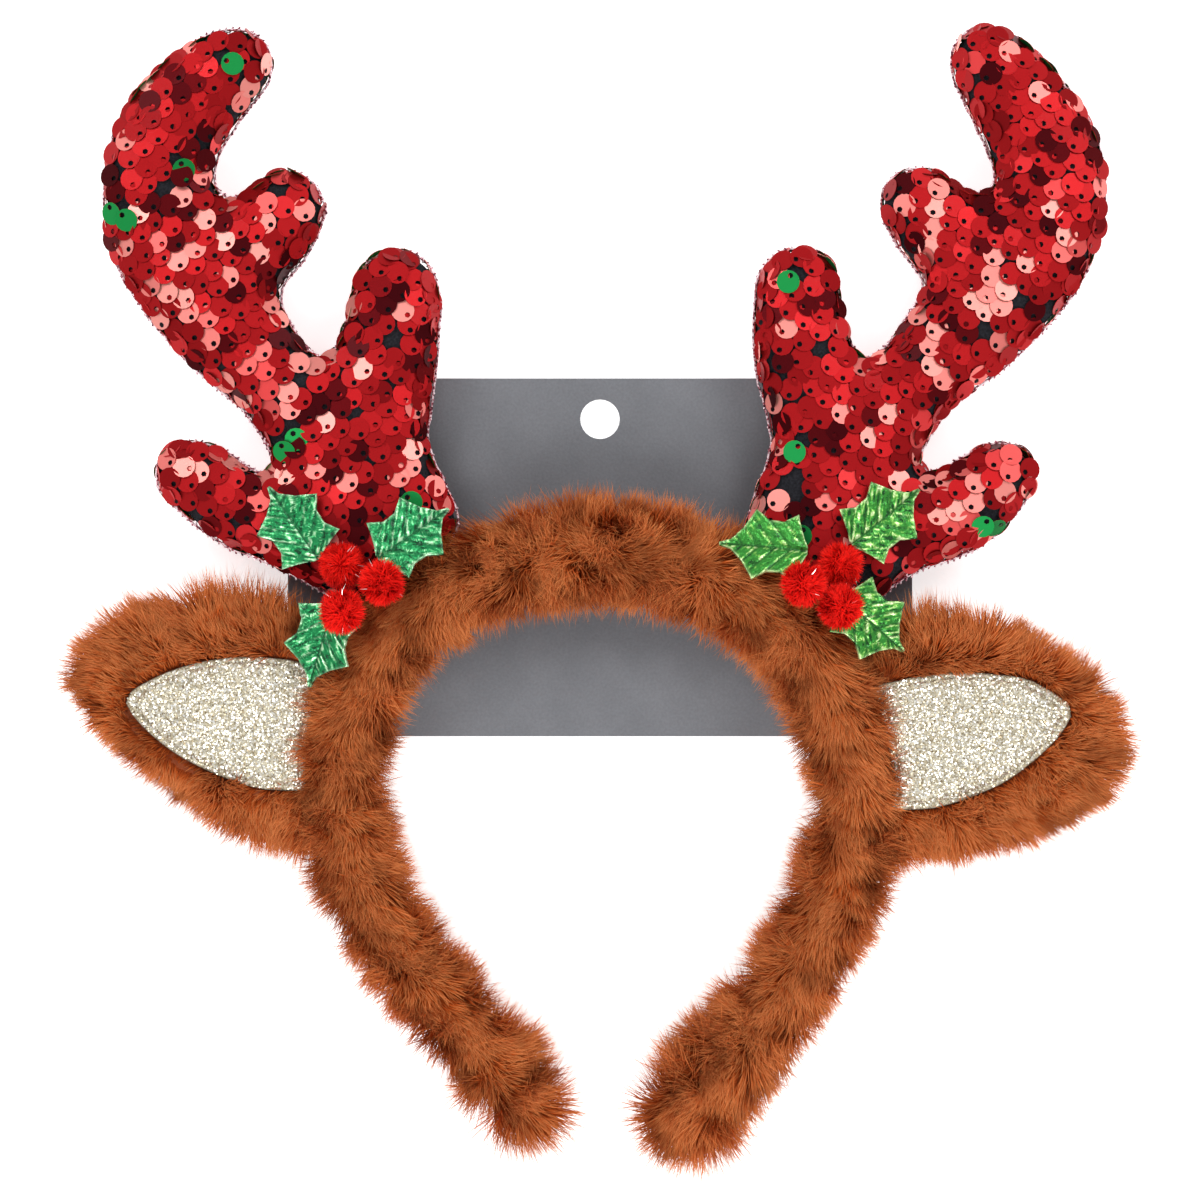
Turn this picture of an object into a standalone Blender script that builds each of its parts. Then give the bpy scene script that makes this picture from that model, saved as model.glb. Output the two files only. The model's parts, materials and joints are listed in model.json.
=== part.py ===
"""Reindeer antler headband, lying on its plain hang card.

Metres, +Z up. The origin is the centre of the card's underside. +Y points from the head to the antlers, the
front of the headband faces +Z, and left and right are as seen from the front, so the right ear is at +X.
"""

import math
import random
from collections import namedtuple

import bmesh
import bpy
import numpy as np
from mathutils import Matrix, Vector
from mathutils.bvhtree import BVHTree

MM = 0.001

# Gap kept between pieces that touch on the real object
CLEARANCE = 0.3 * MM

# Hang card
CARD_WIDTH = 164.0 * MM
CARD_HEIGHT = 94.0 * MM
CARD_THICKNESS = 0.8 * MM
HANG_HOLE_DIAMETER = 10.4 * MM
HANG_HOLE_DROP = 10.7 * MM
HANG_HOLE_SIDES = 24

# Fur band: centreline sizes, the pile's outer radius at the crown and its locks
BAND_WIDTH = 133.0 * MM
BAND_HEIGHT = 144.0 * MM
CROWN_RISE = 1.8 * MM
PILE_RADIUS = 16.0 * MM
BAND_SINK = 1.3 * MM
BAND_SIDES = 12
BAND_SPACE_SIDES = 24
BAND_END_TURNS = (32, 58, 76)
LOCK_HEIGHT = 3.6 * MM
LOCK_PITCH = 6.4 * MM

# The shortest lock as a share of the highest, and how far the locks lean as shares of that height
SHORTEST_LOCK = 0.82
LEAST_LEAN = 0.28
MOST_LEAN = 0.55

# Ears and their inner panels
EAR_LENGTH = 75.0 * MM
EAR_WIDTH = 74.6 * MM
EAR_THICKNESS = 20.0 * MM
EAR_LIFT = 13.5 * MM
PANEL_LENGTH = 57.7 * MM
PANEL_WIDTH = 35.9 * MM
PANEL_THICKNESS = 1.2 * MM
PANEL_DEPTH = 4.5 * MM
EAR_SIDES = 34

# Antlers
ANTLER_SPREAD = 79.0 * MM
ANTLER_HEIGHT = 152.6 * MM
ANTLER_LIMB_WIDTH = 28.0 * MM
ANTLER_THICKNESS = 13.0 * MM
ANTLER_ROUNDING = 6.0 * MM
ANTLER_LIFT = 14.0 * MM
ANTLER_FILLET = 5.0 * MM
ANTLER_GRID_STEP = 1.0 * MM
ANTLER_OUTLINE_STEP = 5.0 * MM

# Holly
LEAF_LENGTH = 22.7 * MM
LEAF_WIDTH = 19.0 * MM
LEAF_THICKNESS = 0.8 * MM
LEAF_STALK_WIDTH = 1.5 * MM
LEAF_TIP_WIDTH = 0.8 * MM
BERRY_DIAMETER = 11.0 * MM
TUFT_HEIGHT = 1.1 * MM
SHORTEST_TUFT = 0.7

# Slopes of a leaf, as tangents: its fold along the midrib, its droop at the tip and its steepest seat
LEAF_FOLD = 0.16
LEAF_DROOP = 0.10
STEEPEST_LEAF = 0.35

SEAT_STEP = 0.5 * MM
SPLINE_STEPS = 12
ROOT_STEPS = 200
WELD = 0.01 * MM
SHARP_EDGE = 40
FUR_SEED = 7

SIDES = {"left": -1.0, "right": 1.0}

# The band's route from the crown to the end of each leg. across is a share of half the band's width, down
# a share of its height, and girth a share of the pile's radius.
Station = namedtuple("Station", "across down girth")
BAND_ROUTE = {
    "left": [
        Station(0.00, 0.000, 1.00),
        Station(0.40, 0.029, 1.00),
        Station(0.74, 0.112, 0.99),
        Station(0.95, 0.268, 0.95),
        Station(1.01, 0.430, 0.92),
        Station(0.93, 0.600, 0.92),
        Station(0.77, 0.728, 0.92),
        Station(0.51, 0.870, 0.91),
        Station(0.30, 1.000, 0.84),
    ],
    "right": [
        Station(0.00, 0.000, 1.00),
        Station(0.41, 0.041, 1.00),
        Station(0.75, 0.150, 0.98),
        Station(0.96, 0.325, 0.95),
        Station(0.99, 0.480, 0.94),
        Station(0.91, 0.640, 0.96),
        Station(0.75, 0.775, 0.97),
        Station(0.51, 0.915, 1.01),
        Station(0.35, 1.010, 0.95),
    ],
}

# Where each ear and antler grows from the band, as a share of the way from the crown to the leg's end
EAR_ROOT = {"left": 0.440, "right": 0.460}
ANTLER_ROOT = {"left": 0.270, "right": 0.290}

# Ear outlines from the root to the tip. out is a share of the ear's length from the band's centreline, top
# and bottom are shares of its width above and below the root.
Edge = namedtuple("Edge", "out top bottom")
EAR_OUTLINE = {
    "left": [
        Edge(0.03, 0.26, -0.40),
        Edge(0.15, 0.45, -0.47),
        Edge(0.28, 0.51, -0.46),
        Edge(0.43, 0.52, -0.40),
        Edge(0.59, 0.50, -0.27),
        Edge(0.74, 0.46, -0.16),
        Edge(0.88, 0.39, -0.05),
        Edge(0.97, 0.28, 0.06),
        Edge(1.00, 0.16, 0.16),
    ],
    "right": [
        Edge(0.04, 0.30, -0.40),
        Edge(0.17, 0.51, -0.46),
        Edge(0.31, 0.51, -0.43),
        Edge(0.47, 0.50, -0.40),
        Edge(0.61, 0.45, -0.37),
        Edge(0.73, 0.39, -0.32),
        Edge(0.87, 0.29, -0.23),
        Edge(0.965, 0.17, -0.14),
        Edge(1.00, 0.01, 0.01),
    ],
}
PANEL_OUTLINE = {
    "left": [
        Edge(0.05, 0.49, -0.48),
        Edge(0.27, 0.52, -0.46),
        Edge(0.45, 0.54, -0.41),
        Edge(0.63, 0.51, -0.30),
        Edge(0.79, 0.44, -0.16),
        Edge(0.91, 0.35, 0.00),
        Edge(0.98, 0.28, 0.13),
        Edge(1.00, 0.22, 0.22),
    ],
    "right": [
        Edge(0.05, 0.51, -0.49),
        Edge(0.27, 0.54, -0.45),
        Edge(0.47, 0.58, -0.38),
        Edge(0.67, 0.56, -0.25),
        Edge(0.79, 0.53, -0.12),
        Edge(0.89, 0.45, 0.02),
        Edge(0.96, 0.37, 0.15),
        Edge(1.00, 0.30, 0.30),
    ],
}

# Sections of the ear from its hollow over the rim to its back. reach runs from 0 at the panel's edge to 1 at
# the ear's rim, and height from -1 at the back to 1 at the crest.
Section = namedtuple("Section", "reach height")
EAR_SECTIONS = [
    Section(0.10, 0.82),
    Section(0.38, 1.00),
    Section(0.78, 0.62),
    Section(1.00, 0.00),
    Section(0.80, -0.62),
    Section(0.35, -1.00),
]

# Limbs of each antler, from the band outwards. out is a share of the antler's spread and up of its height,
# both from the root on the band's centreline, and half a share of half a limb's width.
Limb = namedtuple("Limb", "out up half")
ANTLER_LIMBS = {
    "left": {
        "beam": [
            Limb(0.02, 0.02, 0.72),
            Limb(0.08, 0.15, 1.36),
            Limb(0.215, 0.27, 1.14),
            Limb(0.418, 0.392, 0.80),
            Limb(0.60, 0.50, 1.01),
            Limb(0.763, 0.625, 1.11),
            Limb(0.822, 0.727, 1.00),
            Limb(0.766, 0.83, 0.93),
            Limb(0.641, 0.906, 0.81),
            Limb(0.566, 0.937, 0.69),
        ],
        "lower_tine": [
            Limb(0.13, 0.31, 1.07),
            Limb(0.06, 0.45, 0.90),
            Limb(0.036, 0.549, 0.80),
        ],
        "upper_tine": [
            Limb(0.67, 0.59, 0.93),
            Limb(0.487, 0.637, 0.85),
            Limb(0.391, 0.692, 0.69),
        ],
        "brow_tine": [
            Limb(0.16, 0.08, 0.67),
            Limb(0.39, 0.15, 0.74),
            Limb(0.543, 0.177, 0.70),
            Limb(0.65, 0.22, 0.70),
            Limb(0.72, 0.242, 0.62),
        ],
    },
    "right": {
        "beam": [
            Limb(0.03, 0.02, 0.72),
            Limb(0.09, 0.18, 1.37),
            Limb(0.180, 0.30, 1.13),
            Limb(0.388, 0.431, 0.80),
            Limb(0.592, 0.542, 1.04),
            Limb(0.773, 0.658, 1.11),
            Limb(0.845, 0.76, 1.00),
            Limb(0.806, 0.845, 0.96),
            Limb(0.707, 0.927, 0.83),
            Limb(0.628, 0.98, 0.67),
        ],
        "lower_tine": [
            Limb(0.13, 0.334, 1.07),
            Limb(0.026, 0.479, 0.89),
            Limb(0.007, 0.593, 0.76),
        ],
        "upper_tine": [
            Limb(0.684, 0.627, 0.93),
            Limb(0.51, 0.681, 0.85),
            Limb(0.401, 0.736, 0.69),
        ],
        "brow_tine": [
            Limb(0.17, 0.11, 0.67),
            Limb(0.362, 0.18, 0.74),
            Limb(0.526, 0.211, 0.78),
            Limb(0.625, 0.252, 0.70),
            Limb(0.681, 0.273, 0.65),
        ],
    },
}

# Holly leaves: where the stalk lies from the antler's root in leaf lengths, and which way the tip points, in
# degrees from the outward direction. Berries: where they lie from the root in berry diameters.
Leaf = namedtuple("Leaf", "out up heading")
HOLLY_LEAVES = {
    "left": [Leaf(1.00, 0.64, 55), Leaf(0.31, 0.64, 142), Leaf(0.80, 0.14, -70)],
    "right": [Leaf(0.12, 0.97, 175), Leaf(0.63, 1.05, 39), Leaf(0.49, 0.46, -38)],
}
Berry = namedtuple("Berry", "out up")
HOLLY_BERRIES = {
    "left": [Berry(1.51, 1.18), Berry(0.54, 0.76), Berry(1.46, 0.10)],
    "right": [Berry(1.02, 1.68), Berry(0.12, 1.24), Berry(1.00, 0.71)],
}

# Spines along each edge of a leaf. along is a share of its length and reach of half its width.
Spine = namedtuple("Spine", "along reach")
LEAF_SPINES = [Spine(0.0, 0.10), Spine(0.14, 0.96), Spine(0.62, 1.00), Spine(1.0, 0.0)]
SCALLOP_DEPTH = 0.60
SCALLOP_STEPS = 3
LEAF_COLUMNS = (-1.0, -0.5, 0.0, 0.5, 1.0)

COLOURS = {
    "faux_fur": ((0.36, 0.14, 0.045), 0.9, 0.0),
    "sequin_fabric": ((0.62, 0.015, 0.02), 0.3, 0.2),
    "gold_glitter": ((0.66, 0.58, 0.38), 0.45, 0.4),
    "green_foil": ((0.03, 0.36, 0.12), 0.25, 0.6),
    "red_pompom": ((0.75, 0.01, 0.01), 0.9, 0.0),
    "grey_card": ((0.17, 0.18, 0.20), 0.6, 0.0),
}


def clear_scene():
    for old in list(bpy.data.objects):
        bpy.data.objects.remove(old, do_unlink=True)


def new_collection(name):
    collection = bpy.data.collections.new(name)
    bpy.context.scene.collection.children.link(collection)
    return collection


def new_material(name):
    colour, roughness, metallic = COLOURS[name]
    material = bpy.data.materials.new(name)
    material.use_nodes = True
    shader = material.node_tree.nodes["Principled BSDF"]
    shader.inputs["Base Color"].default_value = (*colour, 1.0)
    shader.inputs["Roughness"].default_value = roughness
    shader.inputs["Metallic"].default_value = metallic
    return material


def add_object(name, data, collection, material=None):
    obj = bpy.data.objects.new(name, data)
    collection.objects.link(obj)
    if material is not None:
        data.materials.append(material)
    return obj


def smooth_curve(rows):
    """Points of a Catmull-Rom spline through rows of numbers, every column alike."""
    rows = np.asarray(rows, float)
    padded = np.vstack([2 * rows[0] - rows[1], rows, 2 * rows[-1] - rows[-2]])
    found = []
    for i in range(len(rows) - 1):
        a, b, c, d = padded[i : i + 4]
        for t in np.linspace(0.0, 1.0, SPLINE_STEPS, endpoint=False):
            found.append(
                b
                + 0.5 * t * (c - a)
                + t**2 * (a - 2.5 * b + 2 * c - 0.5 * d)
                + t**3 * (1.5 * b - 0.5 * a - 1.5 * c + 0.5 * d)
            )
    return np.vstack([found, rows[-1:]])


def even_steps(points, count, closed=False):
    """The same path with its points spaced evenly in plan, other columns carried along."""
    path = np.vstack([points, points[:1]]) if closed else points
    lengths = np.linalg.norm(np.diff(path[:, :2], axis=0), axis=1)
    along = np.concatenate([[0.0], np.cumsum(lengths)])
    wanted = np.linspace(0.0, along[-1], count + 1 if closed else count)
    columns = [np.interp(wanted, along, path[:, k]) for k in range(path.shape[1])]
    stepped = np.stack(columns, axis=1)
    return stepped[:-1] if closed else stepped


def path_length(points):
    return float(np.linalg.norm(np.diff(points[:, :2], axis=0), axis=1).sum())


def band_leg(side):
    """Rows of x, y and girth from the crown to the end of one leg."""
    rows = [
        (
            SIDES[side] * station.across * BAND_WIDTH / 2,
            CROWN_RISE - station.down * BAND_HEIGHT,
            station.girth,
        )
        for station in BAND_ROUTE[side]
    ]
    return smooth_curve(rows)


def band_path():
    """Rows of x, y, z and pile radius from the left leg's end over the crown to the right one's."""
    plan = np.vstack([band_leg("left")[::-1], band_leg("right")[1:]])
    plan = even_steps(plan, round(path_length(plan) / LOCK_PITCH) + 1)
    radius = plan[:, 2] * PILE_RADIUS
    height = CARD_THICKNESS + CLEARANCE + radius - BAND_SINK
    return np.column_stack([plan[:, :2], height, radius])


def with_round_ends(path, shrink):
    """The path with its tube shrunk by a length, and each end closed by three stations of a dome."""
    rows = [row.copy() for row in path]
    for row in rows:
        row[3] -= shrink
    for at, inward in ((0, 1), (-1, -2)):
        end, tangent = rows[at].copy(), path[at, :3] - path[inward, :3]
        tangent /= np.linalg.norm(tangent)
        dome = []
        for degrees in BAND_END_TURNS:
            turn = math.radians(degrees)
            station = end.copy()
            station[:3] += tangent * end[3] * math.sin(turn)
            station[3] = end[3] * math.cos(turn)
            dome.append(station)
        rows = dome[::-1] + rows if at == 0 else rows + dome
    return np.array(rows)


def tube_mesh(name, path, sides):
    """A closed tube along rows of x, y, z and radius, made from a bevelled curve."""
    curve = bpy.data.curves.new(name, "CURVE")
    curve.dimensions = "3D"
    curve.twist_mode = "Z_UP"
    curve.bevel_depth = float(path[:, 3].max())
    curve.bevel_resolution = sides // 2 - 2
    curve.use_fill_caps = True
    spline = curve.splines.new("POLY")
    spline.points.add(len(path) - 1)
    for point, row in zip(spline.points, path):
        point.co = (*row[:3], 1.0)
        point.radius = row[3] / curve.bevel_depth
    return mesh_from_curve(name, curve)


def mesh_from_curve(name, curve):
    """The curve's mesh with its caps welded on. The curve itself is removed."""
    holder = bpy.data.objects.new(name, curve)
    bpy.context.scene.collection.objects.link(holder)
    graph = bpy.context.evaluated_depsgraph_get()
    mesh = bpy.data.meshes.new_from_object(holder.evaluated_get(graph))
    bpy.data.objects.remove(holder, do_unlink=True)
    work = bmesh.new()
    work.from_mesh(mesh)
    bmesh.ops.remove_doubles(work, verts=work.verts, dist=WELD)
    bmesh.ops.recalc_face_normals(work, faces=work.faces)
    work.to_mesh(mesh)
    work.free()
    mesh.name = name
    return mesh


def raise_locks(work, faces, height, sweep, rng):
    """Turns each face into a tuft: its centre is drawn out along the normal and swept along the fur."""
    normals = [face.normal.copy() for face in faces]
    tips = bmesh.ops.poke(work, faces=faces)["verts"]
    for tip, normal in zip(tips, normals):
        lean = sweep(tip.co)
        lean = lean - normal * lean.dot(normal)
        reach = rng.uniform(SHORTEST_LOCK, 1.0)
        tip.co += (normal * reach + lean * rng.uniform(LEAST_LEAN, MOST_LEAN)) * height


def build_fur_band(path, collection, material):
    mesh = tube_mesh("fur_band", with_round_ends(path, LOCK_HEIGHT), BAND_SIDES)
    crown = int(np.argmax(path[:, 1]))

    def sweep(at):
        """The fur lies away from the crown, down both legs."""
        near = int(np.argmin(np.linalg.norm(path[:, :3] - np.array(at), axis=1)))
        near = min(max(near, 1), len(path) - 2)
        along = Vector(path[near + 1, :3] - path[near - 1, :3]).normalized()
        return along if near >= crown else -along

    work = bmesh.new()
    work.from_mesh(mesh)
    raise_locks(work, list(work.faces), LOCK_HEIGHT, sweep, random.Random(FUR_SEED))
    for vertex in work.verts:
        vertex.co.z = max(vertex.co.z, CARD_THICKNESS + CLEARANCE)
    work.to_mesh(mesh)
    work.free()
    return add_object("fur_band", mesh, collection, material)


def build_band_cutter(path, collection):
    """The band's outer form with its gap: what grows from the band is cut off against it."""
    mesh = tube_mesh("band_space", with_round_ends(path, -CLEARANCE), BAND_SPACE_SIDES)
    cutter = add_object("band_space", mesh, collection)
    cutter.hide_render = True
    cutter.display_type = "WIRE"
    return cutter


def cut_against(obj, cutter):
    cut = obj.modifiers.new("band_seat", "BOOLEAN")
    cut.operation = "DIFFERENCE"
    cut.solver = "EXACT"
    cut.object = cutter


def root_of(side, share):
    """The point in plan of the band's centreline, a share of the way from the crown to the leg's end."""
    leg = even_steps(band_leg(side), ROOT_STEPS + 1)
    return leg[round(share * ROOT_STEPS), :2]


def edge_loop(side, table, root, length, width, count):
    """An even loop of plan points round an outline that is given by its top and bottom edges."""
    top = [(edge.out * length, edge.top * width) for edge in table]
    bottom = [(edge.out * length, edge.bottom * width) for edge in table[:-1]]
    loop = even_steps(smooth_curve(top + bottom[::-1]), count)
    return root + loop * [SIDES[side], 1.0]


def inset_loop(loop, distance):
    """The loop moved inwards by a distance, whichever way round it runs."""
    ahead, behind = np.roll(loop, -1, axis=0), np.roll(loop, 1, axis=0)
    tangent = ahead - behind
    tangent /= np.linalg.norm(tangent, axis=1)[:, None]
    normal = np.column_stack([-tangent[:, 1], tangent[:, 0]])
    area = np.sum(loop[:, 0] * ahead[:, 1] - ahead[:, 0] * loop[:, 1])
    return loop + normal * distance * (1.0 if area > 0 else -1.0)


def loft_rings(rings):
    """A closed bmesh through rings of equal counts, and its faces ring by ring."""
    work = bmesh.new()
    rows = [[work.verts.new(point) for point in ring] for ring in rings]
    count = len(rows[0])
    bands = []
    for low, high in zip(rows, rows[1:]):
        bands.append(
            [
                work.faces.new((low[i], low[(i + 1) % count], high[(i + 1) % count], high[i]))
                for i in range(count)
            ]
        )
    work.faces.new(rows[0])
    work.faces.new(rows[-1])
    bmesh.ops.recalc_face_normals(work, faces=work.faces)
    return work, bands


def build_ear(side, collection, material, cutter):
    name = f"ear_{side}"
    root = root_of(side, EAR_ROOT[side])
    rim = edge_loop(side, EAR_OUTLINE[side], root, EAR_LENGTH, EAR_WIDTH, EAR_SIDES)
    rim = inset_loop(rim, LOCK_HEIGHT)
    hollow = edge_loop(side, PANEL_OUTLINE[side], root, PANEL_LENGTH, PANEL_WIDTH, EAR_SIDES)
    half = EAR_THICKNESS / 2 - LOCK_HEIGHT
    floor = EAR_LIFT + EAR_THICKNESS / 2 - LOCK_HEIGHT - PANEL_DEPTH
    rings = [[(x, y, floor) for x, y in hollow]]
    for section in EAR_SECTIONS:
        plan = hollow + (rim - hollow) * section.reach
        rings.append([(x, y, EAR_LIFT + section.height * half) for x, y in plan])
    work, bands = loft_rings(rings)
    furry = [face for band in bands[1:] for face in band]

    def sweep(at):
        """The fur lies outwards, away from the band."""
        away = Vector((at.x - root[0], at.y - root[1], 0.0))
        return away.normalized()

    seed = FUR_SEED + list(SIDES).index(side) + 1
    raise_locks(work, furry, LOCK_HEIGHT, sweep, random.Random(seed))
    mesh = bpy.data.meshes.new(name)
    work.to_mesh(mesh)
    work.free()
    ear = add_object(name, mesh, collection, material)
    cut_against(ear, cutter)
    return ear


def flat_curve(name, loops, thickness, rounding=0.0):
    """A plate of a thickness from closed loops of plan points, centred on z = 0, its edges rounded."""
    curve = bpy.data.curves.new(name, "CURVE")
    curve.dimensions = "2D"
    curve.fill_mode = "BOTH"
    curve.extrude = thickness / 2 - rounding
    curve.bevel_depth = rounding
    curve.bevel_resolution = 1
    curve.offset = -rounding
    for loop in loops:
        spline = curve.splines.new("POLY")
        spline.points.add(len(loop) - 1)
        spline.use_cyclic_u = True
        for point, (x, y) in zip(spline.points, loop):
            point.co = (x, y, 0.0, 1.0)
    return curve


def build_ear_panel(side, collection, material, cutter):
    name = f"ear_panel_{side}"
    root = root_of(side, EAR_ROOT[side])
    loop = edge_loop(side, PANEL_OUTLINE[side], root, PANEL_LENGTH, PANEL_WIDTH, EAR_SIDES)
    loop = inset_loop(loop, CLEARANCE)
    mesh = mesh_from_curve(name, flat_curve(name, [loop], PANEL_THICKNESS))
    panel = add_object(name, mesh, collection, material)
    floor = EAR_LIFT + EAR_THICKNESS / 2 - LOCK_HEIGHT - PANEL_DEPTH
    panel.location.z = floor + CLEARANCE + PANEL_THICKNESS / 2
    cut_against(panel, cutter)
    return panel


def limb_distance(points, rows):
    """How far plan points lie outside a limb that is swept by circles along rows of x, y and radius."""
    nearest = np.full(len(points), np.inf)
    for a, b in zip(rows, rows[1:]):
        span = b[:2] - a[:2]
        share = np.clip((points - a[:2]) @ span / (span @ span), 0.0, 1.0)
        centre = a[:2] + share[:, None] * span
        radius = a[2] + share * (b[2] - a[2])
        nearest = np.minimum(nearest, np.linalg.norm(points - centre, axis=1) - radius)
    return nearest


def blend_distance(first, second, fillet):
    """The union of two distances with a fillet in the valley between them."""
    near = np.clip(0.5 + 0.5 * (second - first) / fillet, 0.0, 1.0)
    return second + (first - second) * near - fillet * near * (1.0 - near)


def antler_rows(side):
    """Each limb as smooth rows of x, y and radius in plan, from the antler's root on the band."""
    root = root_of(side, ANTLER_ROOT[side])
    limbs = []
    for table in ANTLER_LIMBS[side].values():
        rows = [
            (
                root[0] + SIDES[side] * limb.out * ANTLER_SPREAD,
                root[1] + limb.up * ANTLER_HEIGHT,
                limb.half * ANTLER_LIMB_WIDTH / 2,
            )
            for limb in table
        ]
        limbs.append(smooth_curve(rows))
    return limbs


def trace_outline(x, y, field):
    """The closed line where a gridded field crosses zero, followed from cell to cell."""

    def crossing(edge):
        start, end = edge
        share = field[start] / (field[start] - field[end])
        return (
            x[start[0]] + share * (x[end[0]] - x[start[0]]),
            y[start[1]] + share * (y[end[1]] - y[start[1]]),
        )

    inside = field < 0
    touched = inside[:-1, :-1] | inside[1:, 1:] | inside[1:, :-1] | inside[:-1, 1:]
    links = {}
    for i, j in zip(*np.nonzero(touched)):
        corners = [(i, j), (i + 1, j), (i + 1, j + 1), (i, j + 1)]
        edges = [(corners[k], corners[(k + 1) % 4]) for k in range(4)]
        crossed = [tuple(sorted(edge)) for edge in edges if inside[edge[0]] != inside[edge[1]]]
        if len(crossed) == 2:
            links.setdefault(crossed[0], []).append(crossed[1])
            links.setdefault(crossed[1], []).append(crossed[0])
    start = min(links)
    line, last, here = [start], start, links[start][0]
    while here != start:
        line.append(here)
        last, here = here, next(edge for edge in links[here] if edge != last)
    return np.array([crossing(edge) for edge in line])


def antler_outline(side):
    limbs = antler_rows(side)
    everything = np.vstack(limbs)
    widest = everything[:, 2].max() + ANTLER_FILLET
    low, high = everything[:, :2].min(axis=0) - widest, everything[:, :2].max(axis=0) + widest
    x = np.arange(low[0], high[0], ANTLER_GRID_STEP)
    y = np.arange(low[1], high[1], ANTLER_GRID_STEP)
    grid = np.stack(np.meshgrid(x, y, indexing="ij"), axis=-1).reshape(-1, 2)
    field = limb_distance(grid, limbs[0])
    for limb in limbs[1:]:
        field = blend_distance(field, limb_distance(grid, limb), ANTLER_FILLET)
    line = trace_outline(x, y, field.reshape(len(x), len(y)))
    around = path_length(np.vstack([line, line[:1]]))
    return even_steps(line, round(around / ANTLER_OUTLINE_STEP), closed=True)


def build_antler(side, collection, material, cutter):
    name = f"antler_{side}"
    curve = flat_curve(name, [antler_outline(side)], ANTLER_THICKNESS, ANTLER_ROUNDING)
    antler = add_object(name, mesh_from_curve(name, curve), collection, material)
    antler.location.z = ANTLER_LIFT
    cut_against(antler, cutter)
    return antler


def build_card(collection, material):
    half_x, half_y = CARD_WIDTH / 2, CARD_HEIGHT / 2
    sheet = [(-half_x, -half_y), (half_x, -half_y), (half_x, half_y), (-half_x, half_y)]
    hole = []
    for turn in np.linspace(0.0, math.tau, HANG_HOLE_SIDES, endpoint=False):
        x = HANG_HOLE_DIAMETER / 2 * math.cos(turn)
        y = half_y - HANG_HOLE_DROP + HANG_HOLE_DIAMETER / 2 * math.sin(turn)
        hole.append((x, y))
    curve = flat_curve("display_card", [sheet, hole], CARD_THICKNESS)
    card = add_object("display_card", curve, collection, material)
    card.location.z = CARD_THICKNESS / 2
    return card


def leaf_mesh():
    """A holly leaf from its stalk to its tip, scalloped between its spines and folded along the midrib."""
    rows = []
    for low, high in zip(LEAF_SPINES, LEAF_SPINES[1:]):
        for step in range(SCALLOP_STEPS):
            share = step / SCALLOP_STEPS
            along = low.along + share * (high.along - low.along)
            chord = low.reach + share * (high.reach - low.reach)
            scallop = SCALLOP_DEPTH * math.sin(math.pi * share) * (high.along - low.along)
            width = max((chord - scallop) * LEAF_WIDTH, LEAF_STALK_WIDTH)
            rows.append((along * LEAF_LENGTH, width / 2))
    rows.append((LEAF_LENGTH, LEAF_TIP_WIDTH / 2))
    work = bmesh.new()
    grid = []
    for along, half in rows:
        line = []
        for share in LEAF_COLUMNS:
            across = share * half
            droop = LEAF_DROOP * along * along / LEAF_LENGTH
            line.append(work.verts.new((along, across, abs(across) * LEAF_FOLD - droop)))
        grid.append(line)
    for low, high in zip(grid, grid[1:]):
        for k in range(len(LEAF_COLUMNS) - 1):
            work.faces.new((low[k], high[k], high[k + 1], low[k + 1]))
    bmesh.ops.recalc_face_normals(work, faces=work.faces)
    mesh = bpy.data.meshes.new("holly_leaf")
    work.to_mesh(mesh)
    work.free()
    return mesh


def berry_mesh(rng):
    """A round core with a tuft on each face."""
    work = bmesh.new()
    core = BERRY_DIAMETER / 2 - TUFT_HEIGHT
    bmesh.ops.create_icosphere(work, subdivisions=2, radius=core)
    for face in list(work.faces):
        normal = face.calc_center_median().normalized()
        tip = bmesh.ops.poke(work, faces=[face])["verts"][0]
        tip.co = normal * (core + TUFT_HEIGHT * rng.uniform(SHORTEST_TUFT, 1.0))
    mesh = bpy.data.meshes.new("berry")
    work.to_mesh(mesh)
    work.free()
    return mesh


def world_tree(obj):
    """The object's evaluated mesh in world space, as a tree for casting rays."""
    bpy.context.view_layer.update()
    graph = bpy.context.evaluated_depsgraph_get()
    evaluated = obj.evaluated_get(graph)
    mesh = evaluated.to_mesh()
    points = [evaluated.matrix_world @ vertex.co for vertex in mesh.vertices]
    faces = [tuple(face.vertices) for face in mesh.polygons]
    evaluated.to_mesh_clear()
    return BVHTree.FromPolygons(points, faces), points


def height_under(trees, x, y):
    """The highest surface of the supports at a point in plan, or None over the bare table."""
    down = Vector((0.0, 0.0, -1.0))
    hits = [tree.ray_cast(Vector((x, y, 1.0)), down)[0] for tree in trees]
    heights = [hit.z for hit in hits if hit is not None]
    return max(heights) if heights else None


def seat_on(obj, supports):
    """Lowers the object straight down until it lies a clearance above what carries it."""
    tree, points = world_tree(obj)
    trees = [world_tree(support)[0] for support in supports]
    corners = np.array([tuple(point) for point in points])
    low, high = corners.min(axis=0), corners.max(axis=0)
    spots = [(x, y) for x, y, _ in corners]
    for x in np.arange(low[0], high[0], SEAT_STEP):
        spots += [(x, y) for y in np.arange(low[1], high[1], SEAT_STEP)]
    gaps = []
    for x, y in spots:
        own = tree.ray_cast(Vector((x, y, low[2] - 1.0)), Vector((0.0, 0.0, 1.0)))[0]
        below = height_under(trees, x, y)
        if own is not None and below is not None:
            gaps.append(own.z - below)
    obj.location.z -= min(gaps) - CLEARANCE


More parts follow.
